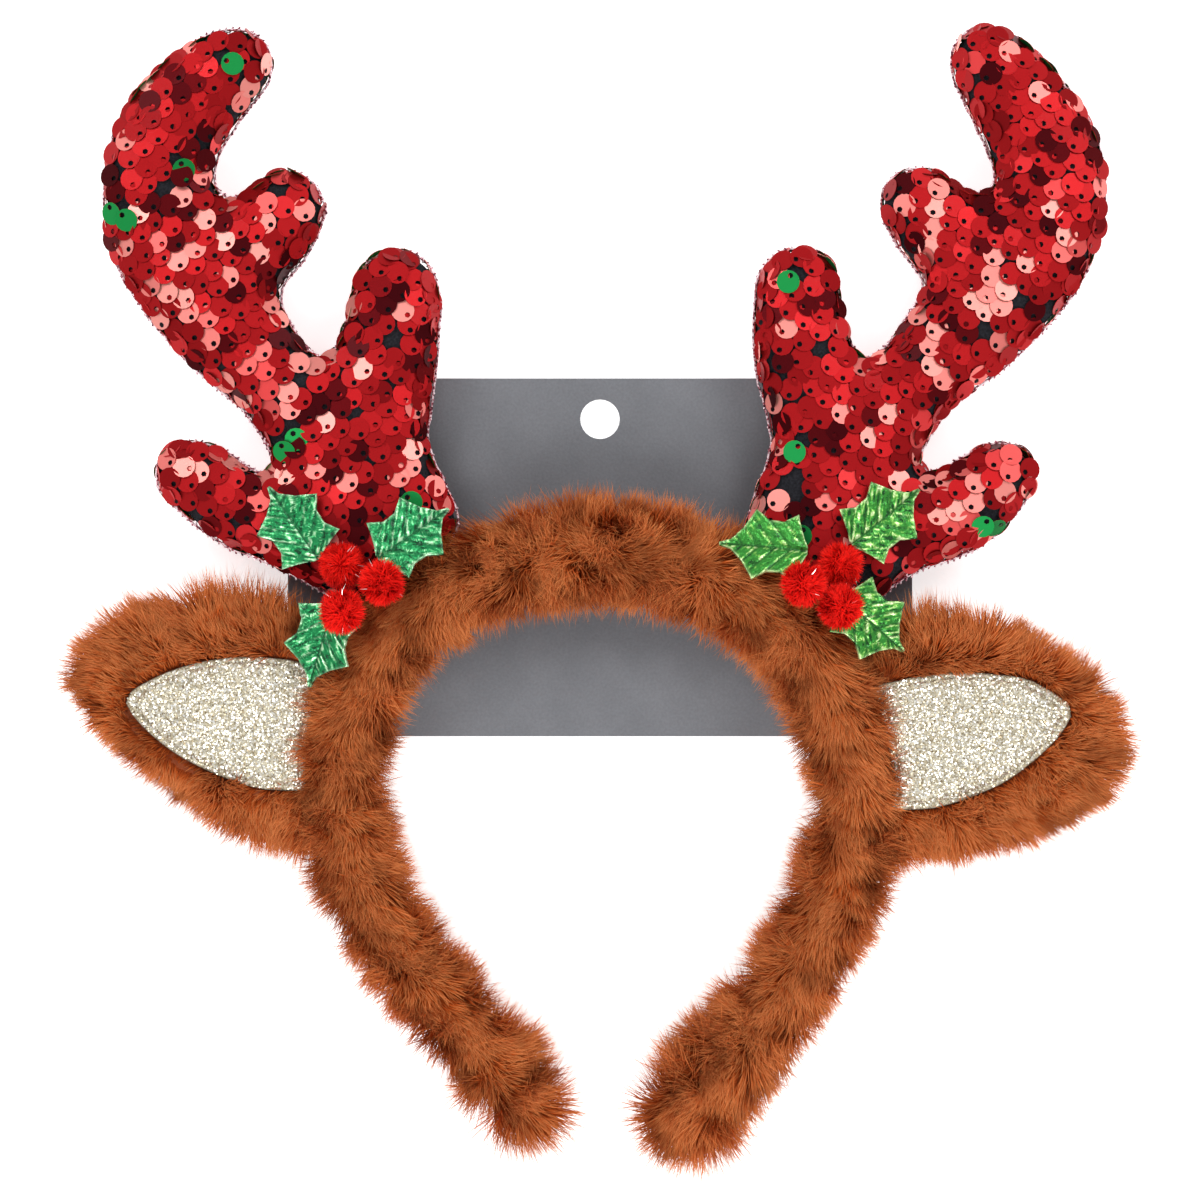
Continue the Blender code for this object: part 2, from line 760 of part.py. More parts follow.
def leaf_turn(leaf, side, at, trees):
    """The leaf's rotation: its heading in plan, tilted to the plane that its supports make under it."""
    heading = math.radians(leaf.heading)
    along = Vector((SIDES[side] * math.cos(heading), math.sin(heading)))
    across = Vector((-along.y, along.x))
    rows, heights = [], []
    for i in np.linspace(0.1, 0.9, 9):
        for j in np.linspace(-0.4, 0.4, 7):
            spot = Vector(at) + along * float(i) * LEAF_LENGTH + across * float(j) * LEAF_WIDTH
            height = height_under(trees, spot.x, spot.y)
            if height is not None and height > CARD_THICKNESS + CLEARANCE:
                rows.append((spot.x, spot.y, 1.0))
                heights.append(height)
    slope_x, slope_y, _ = np.linalg.lstsq(np.array(rows), np.array(heights), rcond=None)[0]
    steepness = math.hypot(slope_x, slope_y)
    share = min(1.0, STEEPEST_LEAF / steepness) if steepness > 0 else 1.0
    normal = Vector((-slope_x * share, -slope_y * share, 1.0)).normalized()
    forward = Vector((along.x, along.y, 0.0))
    forward = (forward - normal * forward.dot(normal)).normalized()
    turn = Matrix((forward, normal.cross(forward), normal)).transposed()
    return turn.to_euler()


def build_holly(side, collection, foil, pompom, supports):
    """Three leaves laid on what is under them, then three berries on the leaves' stalks."""
    root = Vector(root_of(side, ANTLER_ROOT[side]))
    leaves, berries = [], []
    trees = [world_tree(support)[0] for support in supports]
    mesh = leaf_mesh()
    for number, leaf in enumerate(HOLLY_LEAVES[side], start=1):
        out = Vector((SIDES[side] * leaf.out, leaf.up)) * LEAF_LENGTH
        obj = add_object(f"holly_leaf_{side}_{number}", mesh.copy(), collection, foil)
        obj.location = (*(root + out), 3 * PILE_RADIUS)
        obj.rotation_euler = leaf_turn(leaf, side, root + out, trees)
        wall = obj.modifiers.new("foil", "SOLIDIFY")
        wall.thickness = LEAF_THICKNESS
        wall.offset = 0.0
        seat_on(obj, supports + leaves)
        leaves.append(obj)
    rng = random.Random(FUR_SEED + 10)
    for number, berry in enumerate(HOLLY_BERRIES[side], start=1):
        out = Vector((SIDES[side] * berry.out, berry.up)) * BERRY_DIAMETER
        obj = add_object(f"berry_{side}_{number}", berry_mesh(rng), collection, pompom)
        obj.location = (*(root + out), 3 * PILE_RADIUS)
        seat_on(obj, supports + leaves + berries)
        berries.append(obj)
    return leaves + berries


def smooth_shading(objects):
    for obj in objects:
        if obj.type == "MESH":
            obj.data.shade_smooth()
            obj.data.set_sharp_from_angle(angle=math.radians(SHARP_EDGE))


def main():
    clear_scene()
    parts = new_collection("reindeer_antler_headband")
    cutters = new_collection("cutters")
    fur, sequins, glitter = map(new_material, ("faux_fur", "sequin_fabric", "gold_glitter"))
    foil, pompom, board = map(new_material, ("green_foil", "red_pompom", "grey_card"))
    path = band_path()
    band_space = build_band_cutter(path, cutters)
    card = build_card(parts, board)
    band = build_fur_band(path, parts, fur)
    built = [card, band]
    for side in SIDES:
        ear = build_ear(side, parts, fur, band_space)
        panel = build_ear_panel(side, parts, glitter, band_space)
        antler = build_antler(side, parts, sequins, band_space)
        supports = [band, ear, panel, antler]
        built += supports[1:]
        built += build_holly(side, parts, foil, pompom, supports)
    smooth_shading(built)


main()
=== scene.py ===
# %% [markdown]
# A reindeer headband on its hang card, seen from straight above. The frame holds every piece as a plain solid
# at its real size. This lesson dresses those solids: fur that grows strand by strand, stuffed antlers with
# sequins sewn on in rows, glitter cloth, crinkled foil leaves and fuzzy berries.

import json
import math
from collections import namedtuple

import bmesh
import bpy
import numpy as np
from mathutils import Matrix, Vector, noise
from mathutils.kdtree import KDTree

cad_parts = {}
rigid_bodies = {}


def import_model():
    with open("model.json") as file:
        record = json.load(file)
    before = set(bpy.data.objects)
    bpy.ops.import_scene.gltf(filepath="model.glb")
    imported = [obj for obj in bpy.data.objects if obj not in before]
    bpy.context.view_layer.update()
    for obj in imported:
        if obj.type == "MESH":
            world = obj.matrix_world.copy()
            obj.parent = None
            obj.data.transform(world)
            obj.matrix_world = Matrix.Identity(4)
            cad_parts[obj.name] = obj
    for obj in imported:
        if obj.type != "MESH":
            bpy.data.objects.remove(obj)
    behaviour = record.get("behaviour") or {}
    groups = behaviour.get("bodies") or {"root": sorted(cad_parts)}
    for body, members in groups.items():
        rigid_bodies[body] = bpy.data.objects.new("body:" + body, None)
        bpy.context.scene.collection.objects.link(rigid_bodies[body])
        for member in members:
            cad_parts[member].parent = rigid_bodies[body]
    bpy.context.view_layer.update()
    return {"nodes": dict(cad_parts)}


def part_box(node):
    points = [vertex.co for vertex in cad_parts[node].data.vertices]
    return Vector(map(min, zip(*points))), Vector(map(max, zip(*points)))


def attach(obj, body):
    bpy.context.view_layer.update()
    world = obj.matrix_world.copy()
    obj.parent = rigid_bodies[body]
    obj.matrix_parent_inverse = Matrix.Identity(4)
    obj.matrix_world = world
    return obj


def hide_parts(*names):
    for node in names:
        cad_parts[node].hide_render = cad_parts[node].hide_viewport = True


for startup_object in list(bpy.data.objects):
    bpy.data.objects.remove(startup_object)
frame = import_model()

MM = 0.001
SIDES = {"left": -1.0, "right": 1.0}

# %% [markdown]
# The camera comes first, because every later choice is judged through it. A photograph of something flat is
# taken from straight above. A long lens from far away would show the pile with no perspective at all. This
# one stands 1.3 m off, as a copy stand does, so the antlers and the fur keep a little depth.

# %% Camera
VIEW_WIDTH = 312 * MM
VIEW_CENTRE_DOWN = 11.2 * MM
CAMERA_HEIGHT = 1.3
SENSOR_WIDTH = 36.0
FOCUS_HEIGHT = 14 * MM

camera_data = bpy.data.cameras.new("copy_stand_camera")
camera_data.sensor_width = SENSOR_WIDTH
camera_data.lens = SENSOR_WIDTH * (CAMERA_HEIGHT - FOCUS_HEIGHT) / VIEW_WIDTH
camera = bpy.data.objects.new("copy_stand_camera", camera_data)
camera.location = (0.0, -VIEW_CENTRE_DOWN, CAMERA_HEIGHT)
bpy.context.scene.collection.objects.link(camera)
bpy.context.scene.camera = camera
print("lens", round(camera_data.lens, 1), "mm")

# %% [markdown]
# Node trees, for shapes and for finishes alike, are written with one small helper: it adds a node, sets its
# options and fills its sockets, from another node's output or from a plain number. A shape tree has named
# inputs, and short methods for the steps that every shape here takes.

# %% Helpers for node trees
SOCKET_KINDS = {float: "Float", int: "Int", tuple: "Vector"}


def node(tree, kind, inputs=None, **options):
    made = tree.nodes.new(kind)
    for name, value in options.items():
        setattr(made, name, value)
    for key, value in (inputs or {}).items():
        if isinstance(value, bpy.types.NodeSocket):
            tree.links.new(value, made.inputs[key])
        else:
            made.inputs[key].default_value = value
    return made


def math_node(tree, operation, first, second=0.0):
    return node(tree, "ShaderNodeMath", {0: first, 1: second}, operation=operation).outputs[0]


class ShapeTree:
    """A Geometry Nodes tree. Each named input comes with its usual value, or with its kind alone."""

    def __init__(self, name, **inputs):
        self.tree = bpy.data.node_groups.new(name, "GeometryNodeTree")
        face = self.tree.interface
        face.new_socket("Geometry", in_out="INPUT", socket_type="NodeSocketGeometry")
        for label, usual in inputs.items():
            kind = SOCKET_KINDS.get(type(usual), usual)
            socket = face.new_socket(label.replace("_", " "), in_out="INPUT", socket_type=f"NodeSocket{kind}")
            if kind != usual:
                socket.default_value = usual
        face.new_socket("Geometry", in_out="OUTPUT", socket_type="NodeSocketGeometry")
        self.given = self.tree.nodes.new("NodeGroupInput").outputs
        self.out = self.tree.nodes.new("NodeGroupOutput").inputs

    def node(self, kind, inputs=None, **options):
        return node(self.tree, kind, inputs, **options)

    def made(self, kind, inputs=None, **options):
        return node(self.tree, kind, inputs, **options).outputs[0]

    def math(self, operation, first, second=0.0):
        return math_node(self.tree, operation, first, second)

    def times(self, first, second):
        return self.math("MULTIPLY", first, second)

    def plus(self, first, second):
        return self.math("ADD", first, second)

    def minus(self, first, second):
        return self.math("SUBTRACT", first, second)

    def scaled(self, vector, factor):
        return self.made("ShaderNodeVectorMath", {0: vector, "Scale": factor}, operation="SCALE")

    def total(self, first, *others):
        for other in others:
            first = self.made("ShaderNodeVectorMath", {0: first, 1: other}, operation="ADD")
        return first

    def combined(self, *parts):
        return self.made("ShaderNodeCombineXYZ", dict(enumerate(parts)))

    def parts(self, vector):
        return self.node("ShaderNodeSeparateXYZ", {0: vector}).outputs

    def read(self, name, kind="FLOAT"):
        return self.made("GeometryNodeInputNamedAttribute", {0: name}, data_type=kind)

    def stored(self, shape, name, value, domain="POINT", kind="FLOAT"):
        inputs = {"Geometry": shape, "Name": name, "Value": value}
        return self.made("GeometryNodeStoreNamedAttribute", inputs, data_type=kind, domain=domain)

    def random(self, low, high, seed):
        inputs = {2: low, 3: high, "Seed": seed}
        return self.node("FunctionNodeRandomValue", inputs, data_type="FLOAT").outputs[1]

    def random_way(self, reach, seed):
        """A random vector whose parts lie between plus and minus the reach's."""
        inputs = {0: tuple(-part for part in reach), 1: reach, "Seed": seed}
        return self.made("FunctionNodeRandomValue", inputs, data_type="FLOAT_VECTOR")

    def pointed(self, way, forward=None):
        """A rotation that points Z the given way and then Y as far forward as it can."""
        align = "FunctionNodeAlignRotationToVector"
        stand = self.made(align, {"Vector": way}, axis="Z")
        if forward is None:
            return stand
        return self.made(align, {"Rotation": stand, "Vector": forward}, axis="Y", pivot_axis="Z")

    def turned(self, rotation, turn):
        inputs = {"Rotation": rotation, "Rotate By": turn}
        return self.made("FunctionNodeRotateRotation", inputs, rotation_space="LOCAL")

    def turned_by_angles(self, rotation, *angles):
        return self.turned(rotation, self.made("FunctionNodeEulerToRotation", {0: self.combined(*angles)}))

    def moved(self, shape, **where):
        return self.made("GeometryNodeSetPosition", {"Geometry": shape, **where})

    def circle(self, points, radius):
        return self.made("GeometryNodeCurvePrimitiveCircle", {"Resolution": points, "Radius": radius})

    def joined(self, *shapes):
        made = self.node("GeometryNodeJoinGeometry")
        for shape in shapes:
            self.tree.links.new(shape, made.inputs[0])
        return made.outputs[0]

    def set_on(self, points, shape, rotation, size=(1.0, 1.0, 1.0)):
        inputs = {"Points": points, "Instance": shape, "Rotation": rotation, "Scale": size}
        return self.made("GeometryNodeInstanceOnPoints", inputs)

    def toned(self, instances, seed):
        """Gives each instance a random shade from 0 to 1, for its finish to read."""
        return self.stored(instances, "shade", self.random(0.0, 1.0, seed), "INSTANCE")

    def finish(self, shape, finish_label):
        whole = self.made("GeometryNodeRealizeInstances", {"Geometry": shape})
        inputs = {"Geometry": whole, "Material": self.given[finish_label]}
        self.tree.links.new(self.made("GeometryNodeSetMaterial", inputs), self.out[0])
        return self.tree


def evaluated_mesh(obj):
    """The object's mesh as its modifiers leave it, as plain faces."""
    bpy.context.view_layer.update()
    graph = bpy.context.evaluated_depsgraph_get()
    return bpy.data.meshes.new_from_object(obj.evaluated_get(graph), depsgraph=graph)


def grown_mesh(base, tree, **values):
    """The mesh that a tree makes on a base object. The modifier is taken off again."""
    modifier = base.modifiers.new(tree.name, "NODES")
    modifier.node_group = tree
    for item in tree.interface.items_tree:
        label = item.name.replace(" ", "_")
        if item.item_type == "SOCKET" and item.in_out == "INPUT" and label in values:
            modifier[item.identifier] = values[label]
    mesh = evaluated_mesh(base)
    base.modifiers.remove(modifier)
    return mesh


# %% [markdown]
# More helpers handle meshes. A CAD node is loose triangles, so a copy of it is welded before anything is
# built on it. A new piece is put at the origin, rides on the one body and hides the node that it stands for.


# %% Helpers for meshes
def add_helper(name, mesh):
    obj = bpy.data.objects.new(name, mesh)
    bpy.context.scene.collection.objects.link(obj)
    return obj


def add_piece(name, mesh, material, slot, *nodes):
    obj = add_helper(name, mesh)
    mesh.materials.clear()
    mesh.materials.append(material)
    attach(obj, "root")
    if nodes:
        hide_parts(*nodes)
    mesh.calc_loop_triangles()
    print(name, len(mesh.loop_triangles), "triangles")
    return obj


def plain_mesh(work, name):
    """A mesh of what was built in a bmesh, which is freed."""
    mesh = bpy.data.meshes.new(name)
    work.to_mesh(mesh)
    work.free()
    return mesh


def welded_copy(node_name):
    """A copy of a CAD node's mesh with its corners joined."""
    work = bmesh.new()
    work.from_mesh(frame["nodes"][node_name].data)
    work.transform(frame["nodes"][node_name].matrix_world)
    bmesh.ops.remove_doubles(work, verts=work.verts, dist=0.01 * MM)
    return plain_mesh(work, node_name + "_copy")


def rows_of(items, field):
    flat = np.empty(len(items) * 3, np.float32)
    items.foreach_get(field, flat)
    return flat.reshape(-1, 3).astype(float)


def points_and_normals(mesh):
    return rows_of(mesh.vertices, "co"), rows_of(mesh.vertex_normals, "vector")


def points_of(mesh):
    return rows_of(mesh.vertices, "co")


def move_points(mesh, points):
    mesh.vertices.foreach_set("co", np.asarray(points, np.float32).ravel())
    mesh.update()


def store(mesh, name, values):
    """Writes a number or a vector for each point of the mesh, for a tree or a finish to read."""
    values = np.asarray(values, np.float32)
    kind, field = ("FLOAT_VECTOR", "vector") if values.ndim == 2 else ("FLOAT", "value")
    mesh.attributes.new(name, kind, "POINT").data.foreach_set(field, values.ravel())


def with_modifier(obj, kind, **options):
    """The object's mesh after one modifier, which is applied."""
    modifier = obj.modifiers.new(kind.lower(), kind)
    for name, value in options.items():
        setattr(modifier, name, value)
    mesh = evaluated_mesh(obj)
    obj.modifiers.remove(modifier)
    obj.data = mesh
    return mesh


# %% [markdown]
# A finish is one Principled shader. What is the same all over is set on its sockets, and what varies comes
# from nodes that read the piece's own place or an attribute that was stored on it.


# %% Helpers for finishes
def srgb(red, green, blue):
    """A colour as read off a screen, turned into the light values that a shader mixes."""
    shares = [c / 255 for c in (red, green, blue)]
    light = [c / 12.92 if c <= 0.04045 else ((c + 0.055) / 1.055) ** 2.4 for c in shares]
    return (*light, 1.0)


def new_finish(name, **sockets):
    material = bpy.data.materials.new(name)
    material.use_nodes = True
    shader = material.node_tree.nodes["Principled BSDF"]
    for label, value in sockets.items():
        shader.inputs[label.replace("_", " ")].default_value = value
    place = node(material.node_tree, "ShaderNodeTexCoord").outputs["Object"]
    return material, material.node_tree, shader, place


def paint(shader, colour):
    shader.id_data.links.new(colour, shader.inputs["Base Color"])


def ramp(tree, share, stops):
    """A colour ramp. stops holds rows of place and colour."""
    made = node(tree, "ShaderNodeValToRGB", {0: share})
    bar = made.color_ramp
    while len(bar.elements) < len(stops):
        bar.elements.new(1.0)
    for element, (at, colour) in zip(bar.elements, stops):
        element.position = at
        element.color = colour
    return made.outputs[0]


def noise_texture(tree, place, size, detail=2.0):
    """Soft noise whose blots are about size metres across, from 0 to 1."""
    made = node(tree, "ShaderNodeTexNoise", {"Vector": place, "Scale": 1.0 / size, "Detail": detail})
    return made.outputs[0]


def blend_colours(tree, share, first, second, how="MIX"):
    made = node(tree, "ShaderNodeMix", {0: share, 6: first, 7: second}, data_type="RGBA", blend_type=how)
    return made.outputs[2]


def attribute(tree, name):
    return node(tree, "ShaderNodeAttribute", attribute_name=name).outputs["Fac"]


def bump(tree, shader, height, distance, strength=1.0):
    made = node(tree, "ShaderNodeBump", {"Strength": strength, "Distance": distance, "Height": height})
    tree.links.new(made.outputs[0], shader.inputs["Normal"])


# %% [markdown]
# The fur is a deep caramel pile. Each strand is dark at its root, painted shade for the depth of the pile,
# and pale at its tip, painted light, and no two are the same brown. Whole tufts are a little redder or paler
# than their neighbours, which soft noise gives.

# %% Fur finishes
# The root colour is painted shade deep in the pile, and the tip colour is painted light on the strand ends.
FUR_ROOT_SHADE = srgb(132, 50, 14)
FUR_MIDDLE = srgb(180, 80, 28)
FUR_TIP_LIGHT = srgb(222, 142, 84)
FUR_DEEP = srgb(112, 46, 16)
TUFT_BLOTS = 11 * MM
DEEPEST_TUFT = 0.6
DARKEST_STRAND = 0.8
STRAND_SPREAD = 0.4


def fur_finish(name, root, middle, tip, deep):
    material, tree, shader, place = new_finish(name, Roughness=0.85, Specular_IOR_Level=0.12)
    along = attribute(tree, "along")
    # Each strand runs from painted shade at its root to painted light at its tip.
    strand = ramp(tree, along, [(0.0, root), (0.5, middle), (1.0, tip)])
    blots = noise_texture(tree, place, TUFT_BLOTS, 3.0)
    tufts = ramp(tree, blots, [(0.5, (0, 0, 0, 1)), (0.7, (1, 1, 1, 1))])
    tinted = blend_colours(tree, math_node(tree, "MULTIPLY", tufts, DEEPEST_TUFT), strand, deep)
    spread = math_node(tree, "MULTIPLY", attribute(tree, "shade"), STRAND_SPREAD)
    light = math_node(tree, "ADD", spread, DARKEST_STRAND)
    grey = node(tree, "ShaderNodeCombineColor", {0: light, 1: light, 2: light}).outputs[0]
    colour = blend_colours(tree, 1.0, tinted, grey, "MULTIPLY")
    paint(shader, colour)
    return material


fur = fur_finish("caramel_fur", FUR_ROOT_SHADE, FUR_MIDDLE, FUR_TIP_LIGHT, FUR_DEEP)

skin, skin_tree, skin_shader, skin_place = new_finish("fur_backing", Roughness=0.95)
weave = noise_texture(skin_tree, skin_place, 1.5 * MM, 4.0)
skin_colour = ramp(skin_tree, weave, [(0.3, srgb(118, 52, 20)), (0.7, srgb(150, 70, 30))])
paint(skin_shader, skin_colour)
bump(skin_tree, skin_shader, weave, 0.4 * MM)
print("fur finishes made")

# %% [markdown]
# One tree grows every pile on the headband. It scatters roots over a backing, stands a tapered blade on each
# root, leans it the way that the pile lies and lets it wander in tufts. A hair system could do this too, but
# its strands are drawn only in a render and would be lost when the model is exported. A blade of one
# quad and one triangle is the cheapest shape that still bends. Strands stray together in wide tufts and in
# narrow locks, because fur that strays strand by strand looks like a brush.


# %% The pile tree
BLADE_TAPER = 2.4
TUFT_DRIFT = 4.0
LOCK_DRIFT = 1.5
TIP_WELD = 0.001 * MM


def pile_tree():
    t = ShapeTree(
        "pile",
        Strands=3.0e6, Length=10 * MM, Width=0.35 * MM, Bend=0.25, Lean=0.4,
        Wander=0.5, Ruffle=0.2, Tuft_Size=9 * MM, Lock_Size=2.2 * MM, Roll=0.8,
        Shortest=0.7, Lowest=1.0 * MM, Seed=1, Strand_Finish="Material",
    )
    given, seed = t.given, t.given["Seed"]
    place = t.made("GeometryNodeInputPosition")
    x, y, z = t.parts(place)

    thick = t.times(given["Strands"], t.read("pile"))
    spread = {"Mesh": given["Geometry"], "Density": thick, "Seed": seed}
    roots = t.node("GeometryNodeDistributePointsOnFaces", spread).outputs

    def drift_of(size, share):
        """A drift that strands within one patch of the given size have in common."""
        inputs = {"Vector": place, "Scale": t.math("DIVIDE", 1.0, size), "Detail": 1.0}
        patch = t.node("ShaderNodeTexNoise", inputs).outputs["Color"]
        return t.scaled(t.total(patch, (-0.5, -0.5, -0.5)), t.times(given["Wander"], share))

    drift = t.total(drift_of(given["Tuft Size"], TUFT_DRIFT), drift_of(given["Lock Size"], LOCK_DRIFT))
    ruffle = t.scaled(t.random_way((1.0, 1.0, 1.0), seed), given["Ruffle"])
    lean = t.scaled(t.read("sweep", "FLOAT_VECTOR"), given["Lean"])
    stand = t.pointed(t.total(roots["Normal"], lean, drift, ruffle), t.scaled(roots["Normal"], -1.0))
    roll = t.random(t.times(given["Roll"], -1.0), given["Roll"], seed)
    roll = t.made("FunctionNodeAxisAngleToRotation", {"Axis": (0.0, 0.0, 1.0), "Angle": roll})

    unit = {"Size X": 1.0, "Size Y": 1.0, "Vertices X": 2, "Vertices Y": 3}
    up = t.plus(y, 0.5)
    blade = t.stored(t.node("GeometryNodeMeshGrid", unit).outputs["Mesh"], "along", up)
    taper = t.minus(1.0, t.math("POWER", up, BLADE_TAPER))
    across = t.times(x, t.times(taper, given["Width"]))
    bent = t.times(t.math("POWER", up, 2.0), given["Bend"])
    outline = t.combined(across, t.times(bent, given["Length"]), t.times(up, given["Length"]))
    blade = t.moved(blade, Position=outline)
    blade = t.made("GeometryNodeMergeByDistance", {"Geometry": blade, "Distance": TIP_WELD})

    reach = t.times(t.random(given["Shortest"], 1.0, seed), t.read("reach"))
    strands = t.set_on(roots["Points"], blade, t.turned(stand, roll), t.combined(1.0, reach, reach))
    whole = t.made("GeometryNodeRealizeInstances", {"Geometry": t.toned(strands, seed)})
    laid = t.moved(whole, Position=t.combined(x, y, t.math("MAXIMUM", z, given["Lowest"])))
    return t.finish(laid, "Strand Finish")


pile = pile_tree()
CARD_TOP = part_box("display_card")[1][2]
print("pile tree has", len(pile.nodes), "nodes")

# %% [markdown]
# The band is a stiff hoop wrapped in fur. Under the pile lies a round backing, whose middle line is given
# here by the same stations as the solid's: shares of half the band's width and of its height. A bevelled
# curve could follow that line, but its ends would be flat, so the next cell lofts the backing itself.

# %% The band's line
BAND_WIDTH = 133 * MM
BAND_HEIGHT = 144 * MM
CROWN_RISE = 1.8 * MM
PILE_RADIUS = 16 * MM
BACKING_DEPTH = 9.5 * MM
BAND_LIFT = 15.8 * MM

Station = namedtuple("Station", "across down girth")
BAND_ROUTE = {
    "left": [
        Station(0.00, 0.000, 1.00),
        Station(0.40, 0.029, 1.00),
        Station(0.74, 0.112, 0.99),
        Station(0.95, 0.268, 0.95),
        Station(1.01, 0.430, 0.92),
        Station(0.93, 0.600, 0.92),
        Station(0.77, 0.728, 0.92),
        Station(0.51, 0.870, 0.91),
        Station(0.30, 1.000, 0.84),
    ],
    "right": [
        Station(0.00, 0.000, 1.00),
        Station(0.41, 0.041, 1.00),
        Station(0.75, 0.150, 0.98),
        Station(0.96, 0.325, 0.95),
        Station(0.99, 0.480, 0.94),
        Station(0.91, 0.640, 0.96),
        Station(0.75, 0.775, 0.97),
        Station(0.51, 0.915, 1.01),
        Station(0.35, 1.010, 0.95),
    ],
}


def smooth_line(rows, steps=10):
    """Rows of numbers joined by a Catmull-Rom spline."""
    rows = np.asarray(rows, float)
    padded = np.vstack([2 * rows[0] - rows[1], rows, 2 * rows[-1] - rows[-2]])
    found = []
    for a, b, c, d in zip(padded, padded[1:], padded[2:], padded[3:]):
        for t in np.linspace(0.0, 1.0, steps, endpoint=False):
            found.append(
                b
                + 0.5 * t * (c - a)
                + t**2 * (a - 2.5 * b + 2 * c - 0.5 * d)
                + t**3 * (1.5 * b - 0.5 * a - 1.5 * c + 0.5 * d)
            )
    return np.vstack([found, rows[-1:]])


def band_leg(side):
    """Rows of x, y, z and pile radius from the crown to the end of a leg."""
    rows = []
    for station in BAND_ROUTE[side]:
        radius = station.girth * PILE_RADIUS
        x = SIDES[side] * station.across * BAND_WIDTH / 2
        rows.append((x, CROWN_RISE - station.down * BAND_HEIGHT, BAND_LIFT - PILE_RADIUS + radius, radius))
    return smooth_line(rows)


band_line = np.vstack([band_leg("left")[::-1], band_leg("right")[1:]])
print("band line", len(band_line), "points")


# %% [markdown]
# The backing's tube is lofted ring by ring so that each end closes in a dome, as the fur cover's end does.


# %% Backing of the band
RING_POINTS = 28
DOME_TURNS = (25, 50, 72)


def lofted_tube(name, rows):
    """A closed tube through rows of x, y, z and radius that run level, with a dome at each end."""
    rows = np.asarray(rows, float)
    ways = np.gradient(rows[:, :3], axis=0)
    ways /= np.linalg.norm(ways, axis=1)[:, None]
    rings = [(row[:3], way, row[3]) for row, way in zip(rows, ways)]
    for degrees in DOME_TURNS:
        turn = math.radians(degrees)
        first, last = rows[0], rows[-1]
        rings.insert(0, (first[:3] - ways[0] * first[3] * math.sin(turn), ways[0], first[3] * math.cos(turn)))
        rings.append((last[:3] + ways[-1] * last[3] * math.sin(turn), ways[-1], last[3] * math.cos(turn)))
    work = bmesh.new()
    loops = []
    for centre, way, radius in rings:
        across = Vector((way[1], -way[0], 0.0)).normalized()
        above = Vector(way).cross(across)
        loop = []
        for step in range(RING_POINTS):
            turn = math.tau * step / RING_POINTS
            spoke = across * math.cos(turn) + above * math.sin(turn)
            loop.append(work.verts.new(Vector(centre) + spoke * radius))
        loops.append(loop)
    for low, high in zip(loops, loops[1:]):
        for k in range(RING_POINTS):
            after = (k + 1) % RING_POINTS
            work.faces.new((low[k], low[after], high[after], high[k]))
    work.faces.new(loops[0])
    work.faces.new(loops[-1])
    bmesh.ops.recalc_face_normals(work, faces=work.faces)
    mesh = plain_mesh(work, name)
    mesh.shade_smooth()
    return mesh


backing_rows = band_line.copy()
backing_rows[:, 3] -= BACKING_DEPTH
band_backing = lofted_tube("fur_band_backing", backing_rows)
print("band backing", len(band_backing.polygons), "faces")

# %% [markdown]
# The pile lies away from the crown, down both legs, most on top and hardly at the sides, where it stands out.
# Underneath, where it is pressed on the card and can't be seen, the strands stand further apart, which leaves
# more of them for the front. The ears and antlers are sewn on under the pile, so a second helper pulls what
# touches the band a little way into it, and no gap shows between them.

# %% Fur of the band
UNDERSIDE_SHARE = 0.35
BAND_EDGE_SHARE = 0.75
CROWN_PARTING = 14.0
LYING_AT_SIDES = 0.15
LYING_ON_TOP = 0.6
END_FLUFF = 0.38
END_FLUFF_REACH = 20 * MM
TOP_TRIM = 0.34
BAND_PILE = {
    "Strands": 10.9e6, "Length": 13.1 * MM, "Width": 0.32 * MM, "Lean": 1.0, "Bend": 0.3,
    "Wander": 0.8, "Ruffle": 0.3, "Shortest": 0.66, "Lowest": CARD_TOP + 0.2 * MM,
}
BAND_SEED = 11


def nearest_on_line(points, line):
    gaps = np.linalg.norm(points[:, None, :] - line[None, :, :3], axis=2)
    return gaps.argmin(axis=1)


def tucked(points, reach, depth):
    """Plan points pulled toward the band, most where they already touch its fur."""
    spots = np.column_stack([points[:, :2], np.full(len(points), BAND_LIFT)])
    to_line = band_line[nearest_on_line(spots, band_line), :2] - points[:, :2]
    far = np.linalg.norm(to_line, axis=1)
    pull = depth * np.clip(1.0 - (far - PILE_RADIUS) / reach, 0.0, 1.0) ** 1.5
    moved = np.array(points, float)
    moved[:, :2] += to_line / np.maximum(far, 1e-9)[:, None] * pull[:, None]
    return moved


def prepare_band_pile(mesh):
    points, normals = points_and_normals(mesh)
    near = nearest_on_line(points, band_line)
    ways = np.gradient(band_line[:, :3], axis=0)
    ways /= np.linalg.norm(ways, axis=1)[:, None]
    crown = int(band_line[:, 1].argmax())
    signs = np.clip((near - crown) / CROWN_PARTING, -1.0, 1.0)
    facing_up = np.clip(normals[:, 2], 0.0, 1.0)
    lying = LYING_AT_SIDES + LYING_ON_TOP * facing_up**2
    store(mesh, "sweep", ways[near] * (signs * lying)[:, None])
    to_end = np.minimum(*(np.linalg.norm(points - band_line[end, :3], axis=1) for end in (0, -1)))
    fluff = 1.0 + END_FLUFF * np.clip(1.0 - to_end / END_FLUFF_REACH, 0.0, 1.0) ** 0.5
    trim = 1.0 - TOP_TRIM * facing_up
    store(mesh, "reach", trim * fluff * (band_line[near, 3] / PILE_RADIUS) ** 0.5)
    return points, np.clip(BAND_EDGE_SHARE + normals[:, 2], UNDERSIDE_SHARE, 1.0)


